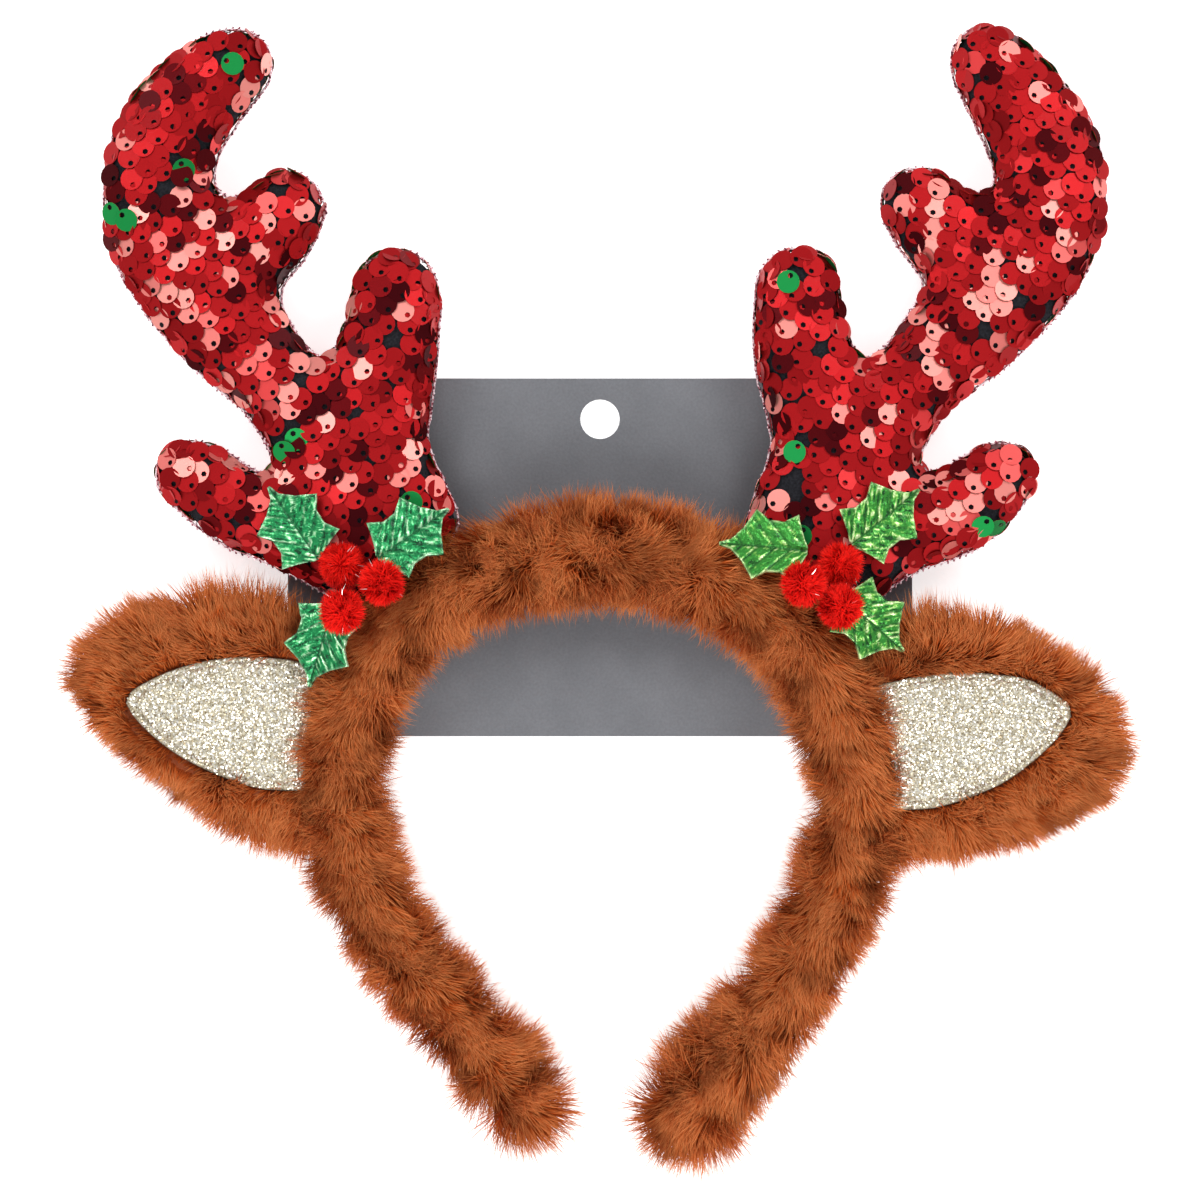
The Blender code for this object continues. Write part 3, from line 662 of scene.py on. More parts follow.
backing_points, seen_share = prepare_band_pile(band_backing)
band_helper = add_helper("band_helper", band_backing)
for number, side in enumerate(SIDES):
    half = backing_points[:, 0] * SIDES[side] >= 0.0
    if "pile" in band_backing.attributes:
        band_backing.attributes.remove(band_backing.attributes["pile"])
    store(band_backing, "pile", seen_share * half)
    strands = grown_mesh(band_helper, pile, **BAND_PILE, Seed=BAND_SEED + number, Strand_Finish=fur)
    add_piece(f"fur_band_pile_{side}", strands, fur, "faux_fur", "fur_band")
backing_mesh = band_backing.copy()
bpy.data.objects.remove(band_helper)
backing_piece = add_piece("fur_band_backing", backing_mesh, skin, "faux_fur", "fur_band")

# %% [markdown]
# Each ear is a fur pad with a glitter cloth panel in its hollow. Its backing is worked out from the solid:
# the tufts are smoothed off by a voxel remesh, and the furry part is drawn in to leave room for its pile.
# Where the panel lies, nothing is drawn in and nothing grows. The outline of the panel says where that is.
# Beside it the pile is cut short, so that the panel's edge stays in sight.

# %% Outline of a flat piece
PANEL_LOOP_POINTS = 96


def even_loop(loop, count):
    """The same closed line with its points evenly spaced."""
    path = np.vstack([loop, loop[:1]])
    along = np.concatenate([[0.0], np.cumsum(np.linalg.norm(np.diff(path, axis=0), axis=1))])
    wanted = np.linspace(0.0, along[-1], count, endpoint=False)
    return np.column_stack([np.interp(wanted, along, path[:, k]) for k in range(path.shape[1])])


def rim_of(mesh, height):
    """The longest closed line in which a level plane cuts the mesh."""
    work = bmesh.new()
    work.from_mesh(mesh)
    cut = bmesh.ops.bisect_plane(
        work,
        geom=work.verts[:] + work.edges[:] + work.faces[:],
        plane_co=(0.0, 0.0, height),
        plane_no=(0.0, 0.0, 1.0),
    )["geom_cut"]
    edges = {edge for edge in cut if isinstance(edge, bmesh.types.BMEdge)}
    loops = []
    while edges:
        edge = edges.pop()
        line = [edge.verts[0], edge.verts[1]]
        while True:
            ahead = [other for other in line[-1].link_edges if other in edges]
            if not ahead:
                break
            edges.discard(ahead[0])
            line.append(ahead[0].other_vert(line[-1]))
        loops.append(np.array([vertex.co[:2] for vertex in line[:-1]]))
    work.free()
    return max(loops, key=len)


def twice_area(loop):
    """Twice the area inside a closed line, negative where it runs clockwise."""
    ahead = np.roll(loop, -1, axis=0)
    return np.sum(loop[:, 0] * ahead[:, 1] - ahead[:, 0] * loop[:, 1])


def distance_to_loop(points, loop):
    """How far plan points lie outside a closed line, negative inside it, and the way outwards."""
    ahead = np.roll(loop, -1, axis=0)
    best = np.full(len(points), np.inf)
    way = np.zeros((len(points), 2))
    inside = np.zeros(len(points), bool)
    for a, b in zip(loop, ahead):
        span = b - a
        share = np.clip((points - a) @ span / max(span @ span, 1e-12), 0.0, 1.0)
        gap = points - (a + share[:, None] * span)
        size = np.linalg.norm(gap, axis=1)
        closer = size < best
        best[closer], way[closer] = size[closer], gap[closer]
        crossing = (a[1] > points[:, 1]) != (b[1] > points[:, 1])
        at = a[0] + (points[:, 1] - a[1]) * span[0] / (span[1] if span[1] else 1e-12)
        inside ^= crossing & (points[:, 0] < at)
    sign = np.where(inside, -1.0, 1.0)
    way = way / np.maximum(best, 1e-9)[:, None] * sign[:, None]
    return best * sign, way


# %% Ears
EAR_VOXEL = 2.2 * MM
EAR_DRAW_IN = 4.6 * MM
PANEL_MARGIN = 1.2 * MM
PANEL_TUCK_REACH = 4.5 * MM
PANEL_TUCK = 5.5 * MM
EAR_TUCK_REACH = 12.0 * MM
EAR_TUCK = 11.0 * MM
HOLLOW_DEPTH = 0.6 * MM
HOLLOW_FACING = 0.2
LEAN_OUTWARD = 0.75
LEAN_AWAY = 0.4
DOWN_THE_EAR = -0.25
EAR_FLUFF = {"left": (0.26, 0.06), "right": (0.26, -0.2)}
SHORTEST_AT_PANEL = 0.42
PANEL_TRIM_REACH = 11 * MM
EAR_PILE = {
    "Strands": 10.5e6, "Length": 11.4 * MM, "Width": 0.3 * MM, "Lean": 0.85, "Bend": 0.25,
    "Wander": 0.75, "Ruffle": 0.3, "Shortest": 0.62, "Lowest": 2.0 * MM,
}
EAR_EDGE_SHARE = 0.8
EAR_SEED = 21


def ear_backing(side, loop, hollow_floor):
    """The ear's solid smoothed, drawn in, hollowed under its panel and tucked into the band."""
    helper = add_helper("ear_helper", welded_copy(f"ear_{side}"))
    with_modifier(helper, "REMESH", mode="VOXEL", voxel_size=EAR_VOXEL)
    with_modifier(helper, "SMOOTH", factor=0.5, iterations=12)
    points, normals = points_and_normals(helper.data)
    gap = distance_to_loop(points[:, :2], loop)[0]
    points = points - normals * (EAR_DRAW_IN * np.clip(gap / (4 * PANEL_MARGIN), 0.0, 1.0))[:, None]
    in_hollow = (gap < PANEL_MARGIN) & (normals[:, 2] > HOLLOW_FACING)
    points[in_hollow, 2] = np.minimum(points[in_hollow, 2], hollow_floor)
    move_points(helper.data, tucked(points, EAR_TUCK_REACH, EAR_TUCK))
    with_modifier(helper, "SMOOTH", factor=0.5, iterations=4)
    return helper


def prepare_ear_pile(mesh, side, loop):
    points, normals = points_and_normals(mesh)
    gap, way = distance_to_loop(points[:, :2], loop)
    upper = normals[:, 2] > -HOLLOW_FACING
    grows = np.where(upper, np.clip(gap / PANEL_MARGIN, 0.0, 1.0), 1.0)
    store(mesh, "pile", grows * np.clip(EAR_EDGE_SHARE + normals[:, 2], UNDERSIDE_SHARE, 1.0))
    outward = np.column_stack([way, np.zeros(len(way))])
    away = np.array([SIDES[side], DOWN_THE_EAR, 0.0])
    store(mesh, "sweep", LEAN_OUTWARD * outward + LEAN_AWAY * away)
    above, below = EAR_FLUFF[side]
    fluff = 1.0 + above * np.clip(normals[:, 1], 0.0, 1.0) + below * np.clip(-normals[:, 1], 0.0, 1.0)
    beside = SHORTEST_AT_PANEL + (1.0 - SHORTEST_AT_PANEL) * np.clip(gap / PANEL_TRIM_REACH, 0.0, 1.0)
    store(mesh, "reach", np.where(upper, beside, 1.0) * fluff)


panel_loops = {}
for number, side in enumerate(SIDES):
    low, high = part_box(f"ear_panel_{side}")
    loop = even_loop(rim_of(welded_copy(f"ear_panel_{side}"), (low[2] + high[2]) / 2), PANEL_LOOP_POINTS)
    loop = panel_loops[side] = tucked(loop, PANEL_TUCK_REACH, PANEL_TUCK)
    helper = ear_backing(side, loop, low[2] - HOLLOW_DEPTH)
    prepare_ear_pile(helper.data, side, loop)
    helper.data.shade_smooth()
    strands = grown_mesh(helper, pile, **EAR_PILE, Seed=EAR_SEED + number, Strand_Finish=fur)
    add_piece(f"ear_pile_{side}", strands, fur, "faux_fur", f"ear_{side}")
    backing_mesh = helper.data.copy()
    bpy.data.objects.remove(helper)
    backing_piece = add_piece(f"ear_backing_{side}", backing_mesh, skin, "faux_fur", f"ear_{side}")

# %% [markdown]
# Glitter cloth is felt with a skin of tiny metal flakes glued on. A noisy picture of glitter looks dead,
# because each real flake throws the light its own way. So the panel is a soft sheet, slightly crowned and
# grooved where it is sewn down, with a bare dark cut edge. A tree scatters thin six-sided flakes over it,
# each tilted a little differently.

# %% Glitter finishes
felt, tree, shader, place = new_finish("gold_felt", Roughness=0.55, Metallic=0.25)
grain = node(tree, "ShaderNodeTexVoronoi", {"Vector": place, "Scale": 1.0 / (0.55 * MM)})
speck = ramp(
    tree,
    grain.outputs["Color"],
    [(0.0, srgb(104, 84, 58)), (0.45, srgb(184, 172, 142)), (1.0, srgb(230, 224, 204))],
)
edged = blend_colours(tree, attribute(tree, "cut_edge"), speck, srgb(74, 56, 40))
paint(shader, edged)
bump(tree, shader, grain.outputs["Distance"], 0.25 * MM)

flake_finish, tree, shader, _ = new_finish("gold_flakes", Roughness=0.28, Metallic=0.85)
tone = ramp(
    tree,
    attribute(tree, "shade"),
    [
        (0.0, srgb(128, 104, 72)),
        (0.14, srgb(192, 180, 150)),
        (0.6, srgb(228, 222, 204)),
        (1.0, srgb(252, 251, 246)),
    ],
)
paint(shader, tone)
print("glitter finishes made")


# %% Flake tree
def flake_tree():
    t = ShapeTree(
        "flakes",
        Flakes=6.0e6, Flake_Width=0.5 * MM, Tilt=0.45, Lift=0.1 * MM, Least_Size=0.6,
        Seed=1, Flake_Finish="Material",
    )
    given, seed = t.given, t.given["Seed"]
    thick = t.times(given["Flakes"], t.read("pile"))
    spread = {"Mesh": given["Geometry"], "Density": thick, "Seed": seed}
    spots = t.node("GeometryNodeDistributePointsOnFaces", spread).outputs
    way = t.total(spots["Normal"], t.scaled(t.random_way((1.0, 1.0, 0.0), seed), given["Tilt"]))
    six_sided = {"Vertices": 6, "Radius": t.times(given["Flake Width"], 0.5)}
    flake = t.made("GeometryNodeMeshCircle", six_sided, fill_type="NGON")
    raised = t.moved(spots["Points"], Offset=t.scaled(spots["Normal"], given["Lift"]))
    set_flakes = t.set_on(raised, flake, t.pointed(way), t.random(given["Least Size"], 1.0, seed))
    return t.finish(t.toned(set_flakes, seed), "Flake Finish")


flakes = flake_tree()
print("flake tree has", len(flakes.nodes), "nodes")

# %% Glitter panels
PANEL_CROWN = 1.2 * MM
PANEL_RING_SHARES = (1.0, 0.985, 0.95, 0.93, 0.915, 0.9, 0.86, 0.78, 0.7, 0.6, 0.5, 0.4, 0.3, 0.2, 0.1)
PANEL_GROOVE_SHARE = 0.915
PANEL_GROOVE_WIDTH = 0.012
PANEL_GROOVE = 0.35 * MM
PANEL_CUT_EDGE = 0.4 * MM
PANEL_SHARP_ANGLE = math.radians(50)
FLAKELESS_EDGE = 0.9 * PANEL_CUT_EDGE
GLITTER = {"Flakes": 5.6e6, "Flake_Width": 0.62 * MM}
GLITTER_SEED = 31


def panel_mesh(loop, low, high):
    """A closed sheet inside a loop, crowned in the middle, with a groove where it is sewn down."""
    centre = loop.mean(axis=0)
    work = bmesh.new()
    rings = []
    for share in PANEL_RING_SHARES:
        groove = PANEL_GROOVE * math.exp(-(((share - PANEL_GROOVE_SHARE) / PANEL_GROOVE_WIDTH) ** 2))
        height = high + PANEL_CROWN * (1.0 - share**2) ** 0.7 - groove
        rings.append([work.verts.new((*(centre + (p - centre) * share), height)) for p in loop])
    peak = work.verts.new((*centre, high + PANEL_CROWN))
    skirt = [work.verts.new((*p, low)) for p in loop]
    rings.insert(0, skirt)
    count = len(loop)
    for outer, inner in zip(rings, rings[1:]):
        for k in range(count):
            work.faces.new((outer[k], outer[(k + 1) % count], inner[(k + 1) % count], inner[k]))
    for k in range(count):
        work.faces.new((rings[-1][k], rings[-1][(k + 1) % count], peak))
    work.faces.new(skirt)
    bmesh.ops.recalc_face_normals(work, faces=work.faces)
    mesh = plain_mesh(work, "glitter_panel")
    mesh.shade_smooth()
    mesh.set_sharp_from_angle(angle=PANEL_SHARP_ANGLE)
    return mesh


for number, side in enumerate(SIDES):
    low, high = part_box(f"ear_panel_{side}")
    loop = panel_loops[side]
    mesh = panel_mesh(loop, low[2], high[2])
    points = points_of(mesh)
    gap = distance_to_loop(points[:, :2], loop)[0]
    store(mesh, "cut_edge", np.clip(1.0 + gap / PANEL_CUT_EDGE, 0.0, 1.0))
    store(mesh, "pile", (gap < -FLAKELESS_EDGE) * (points[:, 2] > high[2] - 0.1 * MM) * 1.0)
    panel = add_piece(f"glitter_cloth_{side}", mesh, felt, "gold_glitter", f"ear_panel_{side}")
    glints = grown_mesh(panel, flakes, **GLITTER, Seed=GLITTER_SEED + number, Flake_Finish=flake_finish)
    glint_piece = add_piece(
        f"glitter_flakes_{side}", glints, flake_finish, "gold_glitter", f"ear_panel_{side}"
    )

# %% [markdown]
# The antlers are stuffed shapes of black cloth with sequins sewn all over. The stuffing is simulated: the
# solid is remeshed at 3 mm, its seam is held where the two halves are sewn, and air pressure swells the faces
# between. Moving points by a formula would be quicker, but pressure fills each tine by its own width.

# %% Black cloth and seam thread
cloth, tree, shader, place = new_finish("black_cloth", Roughness=0.9, Specular_IOR_Level=0.2)
knit = noise_texture(tree, place, 0.6 * MM, 3.0)
paint(shader, ramp(tree, knit, [(0.3, srgb(18, 18, 22)), (0.75, srgb(40, 40, 46))]))
bump(tree, shader, knit, 0.2 * MM)

tinsel, tree, shader, place = new_finish("seam_tinsel", Roughness=0.35, Metallic=0.5)
# The near-white spots are painted glints; the maroon and pink are the thread's own tinsel colours.
tinsel_and_glint = noise_texture(tree, place, 0.9 * MM, 1.0)
thread_stops = [(0.33, srgb(70, 30, 44)), (0.44, srgb(176, 84, 100)), (0.55, srgb(250, 226, 232))]
paint(shader, ramp(tree, tinsel_and_glint, thread_stops))

# %% Stuffed antlers
ANTLER_VOXEL = 3.0 * MM
STUFFING_PRESSURE = 12.0
STUFFING_CAP = 2.6 * MM
STUFFING_STEPS = 20
SEAM_BAND = 1.6 * MM
PRE_SHRINK = 0.8 * MM
ANTLER_TUCK_REACH = 7.0 * MM
ANTLER_TUCK = 5.0 * MM


def stuff(obj, held, cap):
    """Swells a closed cloth form by pressure while the held points stay put."""
    seam = obj.vertex_groups.new(name="seam")
    seam.add([int(i) for i in np.nonzero(held)[0]], 1.0, "REPLACE")
    start = points_of(obj.data)
    cloth_modifier = obj.modifiers.new("stuffing", "CLOTH")
    settings = cloth_modifier.settings
    settings.quality = 6
    settings.use_pressure = True
    settings.uniform_pressure_force = STUFFING_PRESSURE
    settings.vertex_group_mass = "seam"
    settings.effector_weights.gravity = 0.0
    scene = bpy.context.scene
    for step in range(1, STUFFING_STEPS + 1):
        scene.frame_set(step)
    moved = points_of(evaluated_mesh(obj)) - start
    size = np.linalg.norm(moved, axis=1)
    moved *= np.minimum(1.0, cap / np.maximum(size, 1e-9))[:, None]
    obj.modifiers.remove(cloth_modifier)
    move_points(obj.data, start + moved)
    scene.frame_set(1)
    print(obj.name, "swelled by", round(1000 * float(size.max()), 2), "mm at most before the cap")


antler_pads = {}
for side in SIDES:
    pad = add_helper("antler_helper", welded_copy(f"antler_{side}"))
    with_modifier(pad, "REMESH", mode="VOXEL", voxel_size=ANTLER_VOXEL)
    with_modifier(pad, "SMOOTH", factor=0.5, iterations=1)
    low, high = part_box(f"antler_{side}")
    middle = (low[2] + high[2]) / 2
    points, normals = points_and_normals(pad.data)
    held = (abs(points[:, 2] - middle) < SEAM_BAND) & (abs(normals[:, 2]) < 0.6)
    flat_share = abs(normals[:, 2])[:, None]
    move_points(pad.data, points - normals * PRE_SHRINK * flat_share)
    stuff(pad, held, STUFFING_CAP)
    move_points(pad.data, tucked(points_of(pad.data), ANTLER_TUCK_REACH, ANTLER_TUCK))
    mesh = with_modifier(pad, "SUBSURF", levels=1, render_levels=1)
    mesh.shade_smooth()
    bpy.data.objects.remove(pad)
    piece = add_piece(f"antler_pad_{side}", mesh, cloth, "sequin_fabric", f"antler_{side}")
    piece.vertex_groups.clear()
    antler_pads[side] = piece

# %% [markdown]
# Flip sequins are round foils with a hole near the rim, and each is sewn by that hole, so that it can swing
# over and show its green back. The tree lays rows of stitches over the antler's plan, drops each one onto the
# pad by a ray, and hangs a foil on it that leans on its neighbour. Rows stand closer than a foil is wide, so
# the foils overlap as scales do. Rays from above miss the steep sides, so there more foils are scattered with
# a least distance between them. A foil near one of the marked spots is swung over.

# %% Sequin finish
foil_red, tree, shader, _ = new_finish(
    "sequin_foil", Roughness=0.42, Metallic=0.75, Specular_IOR_Level=0.08, Coat_Weight=0.03
)
# Most foils keep the red's own tone, varied at random; the darkest are painted dark reflections and the pink
# ones painted highlights.
front_tone_with_painted_light = ramp(
    tree,
    attribute(tree, "shade"),
    [
        (0.0, srgb(60, 4, 10)),
        (0.12, srgb(88, 8, 14)),
        (0.17, srgb(144, 18, 22)),
        (0.5, srgb(166, 24, 28)),
        (0.8, srgb(186, 30, 34)),
        (0.84, srgb(216, 48, 52)),
        (0.88, srgb(238, 124, 118)),
        (1.0, srgb(246, 160, 150)),
    ],
)
back_tone = ramp(tree, attribute(tree, "shade"), [(0.0, srgb(20, 116, 54)), (1.0, srgb(36, 160, 80))])
paint(shader, blend_colours(tree, attribute(tree, "back"), front_tone_with_painted_light, back_tone))


# %% Sequin tree
FOIL_SIDES = 16
HOLE_SIDES = 6
FOIL_WELD = 0.002 * MM
ROWS_BELOW = 500.25
RAY_LENGTH = 2.0
DENSEST_RIM = 4.0e5
SWUNG_NEARNESS = 0.62
SWUNG_TURN = math.pi + 0.3
MOST_TURN = 0.5


def sequin_tree():
    t = ShapeTree(
        "sequins",
        Diameter=6 * MM, Hole=1.55 * MM, Sewn_From_Centre=1.7 * MM, Thickness=0.12 * MM,
        Row_Step=4.0 * MM, Stitch_Step=4.9 * MM, Rows=60, Stitches=50, Heading=0.0,
        Middle=(0.0, 0.0, 0.0), Side=1.0, Jitter=0.55 * MM, Tilt=0.13, Tilt_Spread=0.06,
        Missing=0.025, Lift=0.95 * MM, Swung_Lift=0.8 * MM, Steepest=0.3,
        Rim_Foils=0.0, Rim_Step=3.7 * MM, Rim_Starts=0.86, Rim_Lift=0.3 * MM,
        Swung_Spots="Object", Seed=1, Foil_Finish="Material",
    )
    given, seed = t.given, t.given["Seed"]
    x, y, _ = t.parts(t.made("GeometryNodeInputPosition"))

    def halved(value):
        return t.times(value, 0.5)

    def steepness_below(way, limit):
        return t.math("LESS_THAN", t.math("ABSOLUTE", t.parts(way)[2]), limit)

    def headed(vector):
        inputs = {"Vector": vector, "Angle": given["Heading"]}
        return t.made("ShaderNodeVectorRotate", inputs, rotation_type="Z_AXIS")

    # one foil, with its stitch at the origin
    sewn = t.combined(0.0, given["Sewn From Centre"], 0.0)
    outer = t.circle(FOIL_SIDES, halved(given["Diameter"]))
    outer = t.made("GeometryNodeTransform", {"Geometry": outer, "Translation": sewn})
    hole = t.circle(HOLE_SIDES, halved(given["Hole"]))
    face = t.made("GeometryNodeFillCurve", {"Curve": t.joined(outer, hole)})
    push = {"Offset": (0.0, 0.0, 1.0), "Offset Scale": given["Thickness"], "Individual": False}
    raised = t.made("GeometryNodeExtrudeMesh", {"Mesh": face, **push}, mode="FACES")
    under = t.made("GeometryNodeFlipFaces", {"Mesh": face})
    foil = t.joined(t.stored(raised, "back", 0.0, "FACE"), t.stored(under, "back", 1.0, "FACE"))
    foil = t.made("GeometryNodeMergeByDistance", {"Geometry": foil, "Distance": FOIL_WELD})

    # rows of stitches in plan, every other row shifted by half a step
    size = {
        "Size X": t.times(t.minus(given["Stitches"], 1.0), given["Stitch Step"]),
        "Size Y": t.times(t.minus(given["Rows"], 1.0), given["Row Step"]),
    }
    counts = {"Vertices X": given["Stitches"], "Vertices Y": given["Rows"]}
    grid = t.node("GeometryNodeMeshGrid", {**size, **counts}).outputs["Mesh"]
    dots = t.made("GeometryNodeMeshToPoints", {"Mesh": grid})
    row = t.math("ROUND", t.plus(t.math("DIVIDE", y, given["Row Step"]), ROWS_BELOW))
    odd = t.math("MODULO", row, 2.0)
    spot = t.combined(t.plus(x, t.times(odd, halved(given["Stitch Step"]))), y)
    spot = t.total(spot, t.scaled(t.random_way((1.0, 1.0, 0.0), seed), given["Jitter"]))
    dots = t.moved(dots, Position=t.total(headed(spot), given["Middle"]))

    # each stitch dropped onto the pad by a ray
    target = {"Target Geometry": given["Geometry"], "Ray Length": RAY_LENGTH}
    start = {"Source Position": t.combined(x, y, given["Side"])}
    aim = {"Ray Direction": t.combined(0.0, 0.0, t.times(given["Side"], -1.0))}
    ray = t.node("GeometryNodeRaycast", {**target, **start, **aim}, data_type="FLOAT")
    kept = t.node("GeometryNodeCaptureAttribute", {"Geometry": dots})
    for kind, name in (("VECTOR", "Normal"), ("VECTOR", "Hit"), ("FLOAT", "Landed")):
        kept.capture_items.new(kind, name)
    for slot, name in enumerate(("Hit Normal", "Hit Position", "Is Hit"), start=1):
        t.tree.links.new(ray.outputs[name], kept.inputs[slot])
    normal, hit, landed = (kept.outputs[slot] for slot in (1, 2, 3))
    lost = t.math("LESS_THAN", t.random(0.0, 1.0, seed), given["Missing"])
    gone = t.math("MAXIMUM", t.minus(1.0, landed), lost)
    gone = t.math("MAXIMUM", gone, steepness_below(normal, given["Steepest"]))
    chosen = {"Geometry": kept.outputs[0], "Selection": gone}
    stitches = t.moved(t.made("GeometryNodeDeleteGeometry", chosen, domain="POINT"), Position=hit)

    # more stitches scattered over the steep sides
    wall = steepness_below(t.made("GeometryNodeInputNormal"), given["Rim Starts"])
    share = {"Density Max": DENSEST_RIM, "Density Factor": t.times(wall, given["Rim Foils"])}
    spread = {"Mesh": given["Geometry"], "Distance Min": given["Rim Step"], "Seed": seed, **share}
    rim = t.node("GeometryNodeDistributePointsOnFaces", spread, distribute_method="POISSON").outputs
    both = ((stitches, normal), (rim["Points"], rim["Normal"]))
    stitches = t.joined(*(t.stored(dots, "facing", way, kind="FLOAT_VECTOR") for dots, way in both))
    identity = {"Geometry": stitches, "ID": t.made("GeometryNodeInputIndex")}
    stitches = t.made("GeometryNodeSetID", identity)
    normal = t.read("facing", "FLOAT_VECTOR")

    # a foil on each stitch, lifted, leaning, and swung over near a marked spot
    marks = t.node("GeometryNodeObjectInfo", {"Object": given["Swung Spots"]}, transform_space="RELATIVE")
    reach = {"Geometry": marks.outputs["Geometry"], "Sample Position": t.combined(x, y)}
    near = t.node("GeometryNodeProximity", reach, target_element="POINTS").outputs["Distance"]
    swung = t.math("LESS_THAN", near, t.times(given["Row Step"], SWUNG_NEARNESS))
    level = t.math("ABSOLUTE", t.parts(normal)[2])
    lift = t.math("MAXIMUM", t.times(level, given["Lift"]), given["Rim Lift"])
    lift = t.plus(lift, t.times(swung, given["Swung Lift"]))
    stitches = t.moved(stitches, Offset=t.scaled(normal, lift))
    least = t.minus(given["Tilt Spread"], given["Tilt"])
    most = t.minus(t.times(given["Tilt Spread"], -1.0), given["Tilt"])
    lean = t.times(t.random(least, most, seed), level)
    lean = t.plus(lean, t.times(swung, SWUNG_TURN))
    roll = t.times(t.random(-1.0, 1.0, t.plus(seed, 7.0)), given["Tilt Spread"])
    turn = t.random(-MOST_TURN, MOST_TURN, t.plus(seed, 13.0))
    stand = t.pointed(normal, headed((0.0, 1.0, 0.0)))
    stand = t.turned_by_angles(stand, 0.0, 0.0, turn)
    stand = t.turned_by_angles(stand, lean, roll, 0.0)
    return t.finish(t.toned(t.set_on(stitches, foil, stand), seed), "Foil Finish")


sequins = sequin_tree()
print("sequin tree has", len(sequins.nodes), "nodes")

# %% [markdown]
# The swung foils are marked by their places in the photograph, whose middle is 600 pixels from its left edge
# and 557 from its top, and whose pixel is 0.26 mm.

# %% Sequins on the antlers
PHOTO_MIDDLE = (600, 557)
PIXEL = 0.26 * MM
SWUNG_FOILS = {
    "left": [(228, 56), (183, 175), (204, 160), (118, 215), (286, 438), (385, 488), (404, 499)],
    "right": [(797, 280), (992, 520), (992, 542), (780, 523), (803, 527), (798, 442), (965, 387)],
}
SEQUIN_HEADING = {"left": math.radians(42), "right": math.radians(-40)}
SEQUIN_SEED = 41


def photo_place(across, down):
    return ((across - PHOTO_MIDDLE[0]) * PIXEL, (PHOTO_MIDDLE[1] - down) * PIXEL, 0.0)


for number, side in enumerate(SIDES):
    low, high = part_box(f"antler_{side}")
    spot_mesh = bpy.data.meshes.new("swung_spots")
    spot_mesh.from_pydata([photo_place(*pixel) for pixel in SWUNG_FOILS[side]], [], [])
    spot_helper = add_helper("swung_spots", spot_mesh)
    shared = {
        "Heading": SEQUIN_HEADING[side],
        "Middle": ((low[0] + high[0]) / 2, (low[1] + high[1]) / 2, 0.0),
        "Swung_Spots": spot_helper,
        "Seed": SEQUIN_SEED + number,
        "Foil_Finish": foil_red,
    }
    for face, facing, rim_foils in (("front", 1.0, 1.0), ("back", -1.0, 0.0)):
        mesh = grown_mesh(antler_pads[side], sequins, **shared, Side=facing, Rim_Foils=rim_foils)
        add_piece(f"sequins_{side}_{face}", mesh, foil_red, "sequin_fabric", f"antler_{side}")
    bpy.data.objects.remove(spot_helper)

# %% [markdown]
# A seam runs round each antler where front and back are sewn together, with tinsel in its thread. The tree
# follows the line in which a level plane cuts the pad, a little way out so that it shows past the foils. It
# sweeps a thin round cord along that line and wraps short slanting stitches over the cord.


# %% Seam tree
def seam_tree():
    t = ShapeTree(
        "seam",
        Cord_Radius=0.35 * MM, Stitch_Step=1.7 * MM, Stitch_Length=2.0 * MM,
        Stitch_Radius=0.26 * MM, Slant=0.9, Slant_Spread=0.4, Seed=1,
        Thread_Finish="Material",
    )
    given = t.given
    line = t.made("GeometryNodeMeshToCurve", {"Mesh": given["Geometry"]})
    profile = {"Curve": line, "Profile Curve": t.circle(5, given["Cord Radius"])}
    cord = t.made("GeometryNodeCurveToMesh", profile)
    even = {"Curve": line, "Length": given["Stitch Step"]}
    steps = t.made("GeometryNodeResampleCurve", even, mode="LENGTH")
    dots = t.node("GeometryNodeCurveToPoints", {"Curve": steps}, mode="EVALUATED").outputs
    rod = {"Vertices": 5, "Radius": given["Stitch Radius"], "Depth": given["Stitch Length"]}
    stitch = t.node("GeometryNodeMeshCylinder", rod).outputs["Mesh"]
    swerve = t.random(t.times(given["Slant Spread"], -1.0), given["Slant Spread"], given["Seed"])
    slanted = t.turned_by_angles(t.pointed(dots["Tangent"]), given["Slant"], swerve)
    return t.finish(t.joined(cord, t.set_on(dots["Points"], stitch, slanted)), "Thread Finish")


seams = seam_tree()
SEAM_OUT = 1.0 * MM
SEAM_POINTS = 400
SEAM_SEED = 51


def closed_line_helper(loop, height):
    mesh = bpy.data.meshes.new("line")
    count = len(loop)
    mesh.from_pydata([(x, y, height) for x, y in loop], [(k, (k + 1) % count) for k in range(count)], [])
    return add_helper("line_helper", mesh)


def widened(loop, step):
    """A closed line with each of its points moved out sideways."""
    ways = np.roll(loop, -2, axis=0) - np.roll(loop, 2, axis=0)
    ways /= np.linalg.norm(ways, axis=1)[:, None]
    out = np.column_stack([ways[:, 1], -ways[:, 0]])
    return loop + out * np.sign(twice_area(loop)) * step


for number, side in enumerate(SIDES):
    low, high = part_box(f"antler_{side}")
    middle = (low[2] + high[2]) / 2
    rim = even_loop(rim_of(antler_pads[side].data, middle), SEAM_POINTS)
    helper = closed_line_helper(widened(rim, SEAM_OUT), middle)
    mesh = grown_mesh(helper, seams, Seed=SEAM_SEED + number, Thread_Finish=tinsel)
    add_piece(f"antler_seam_{side}", mesh, tinsel, "sequin_fabric", f"antler_{side}")
    bpy.data.objects.remove(helper)
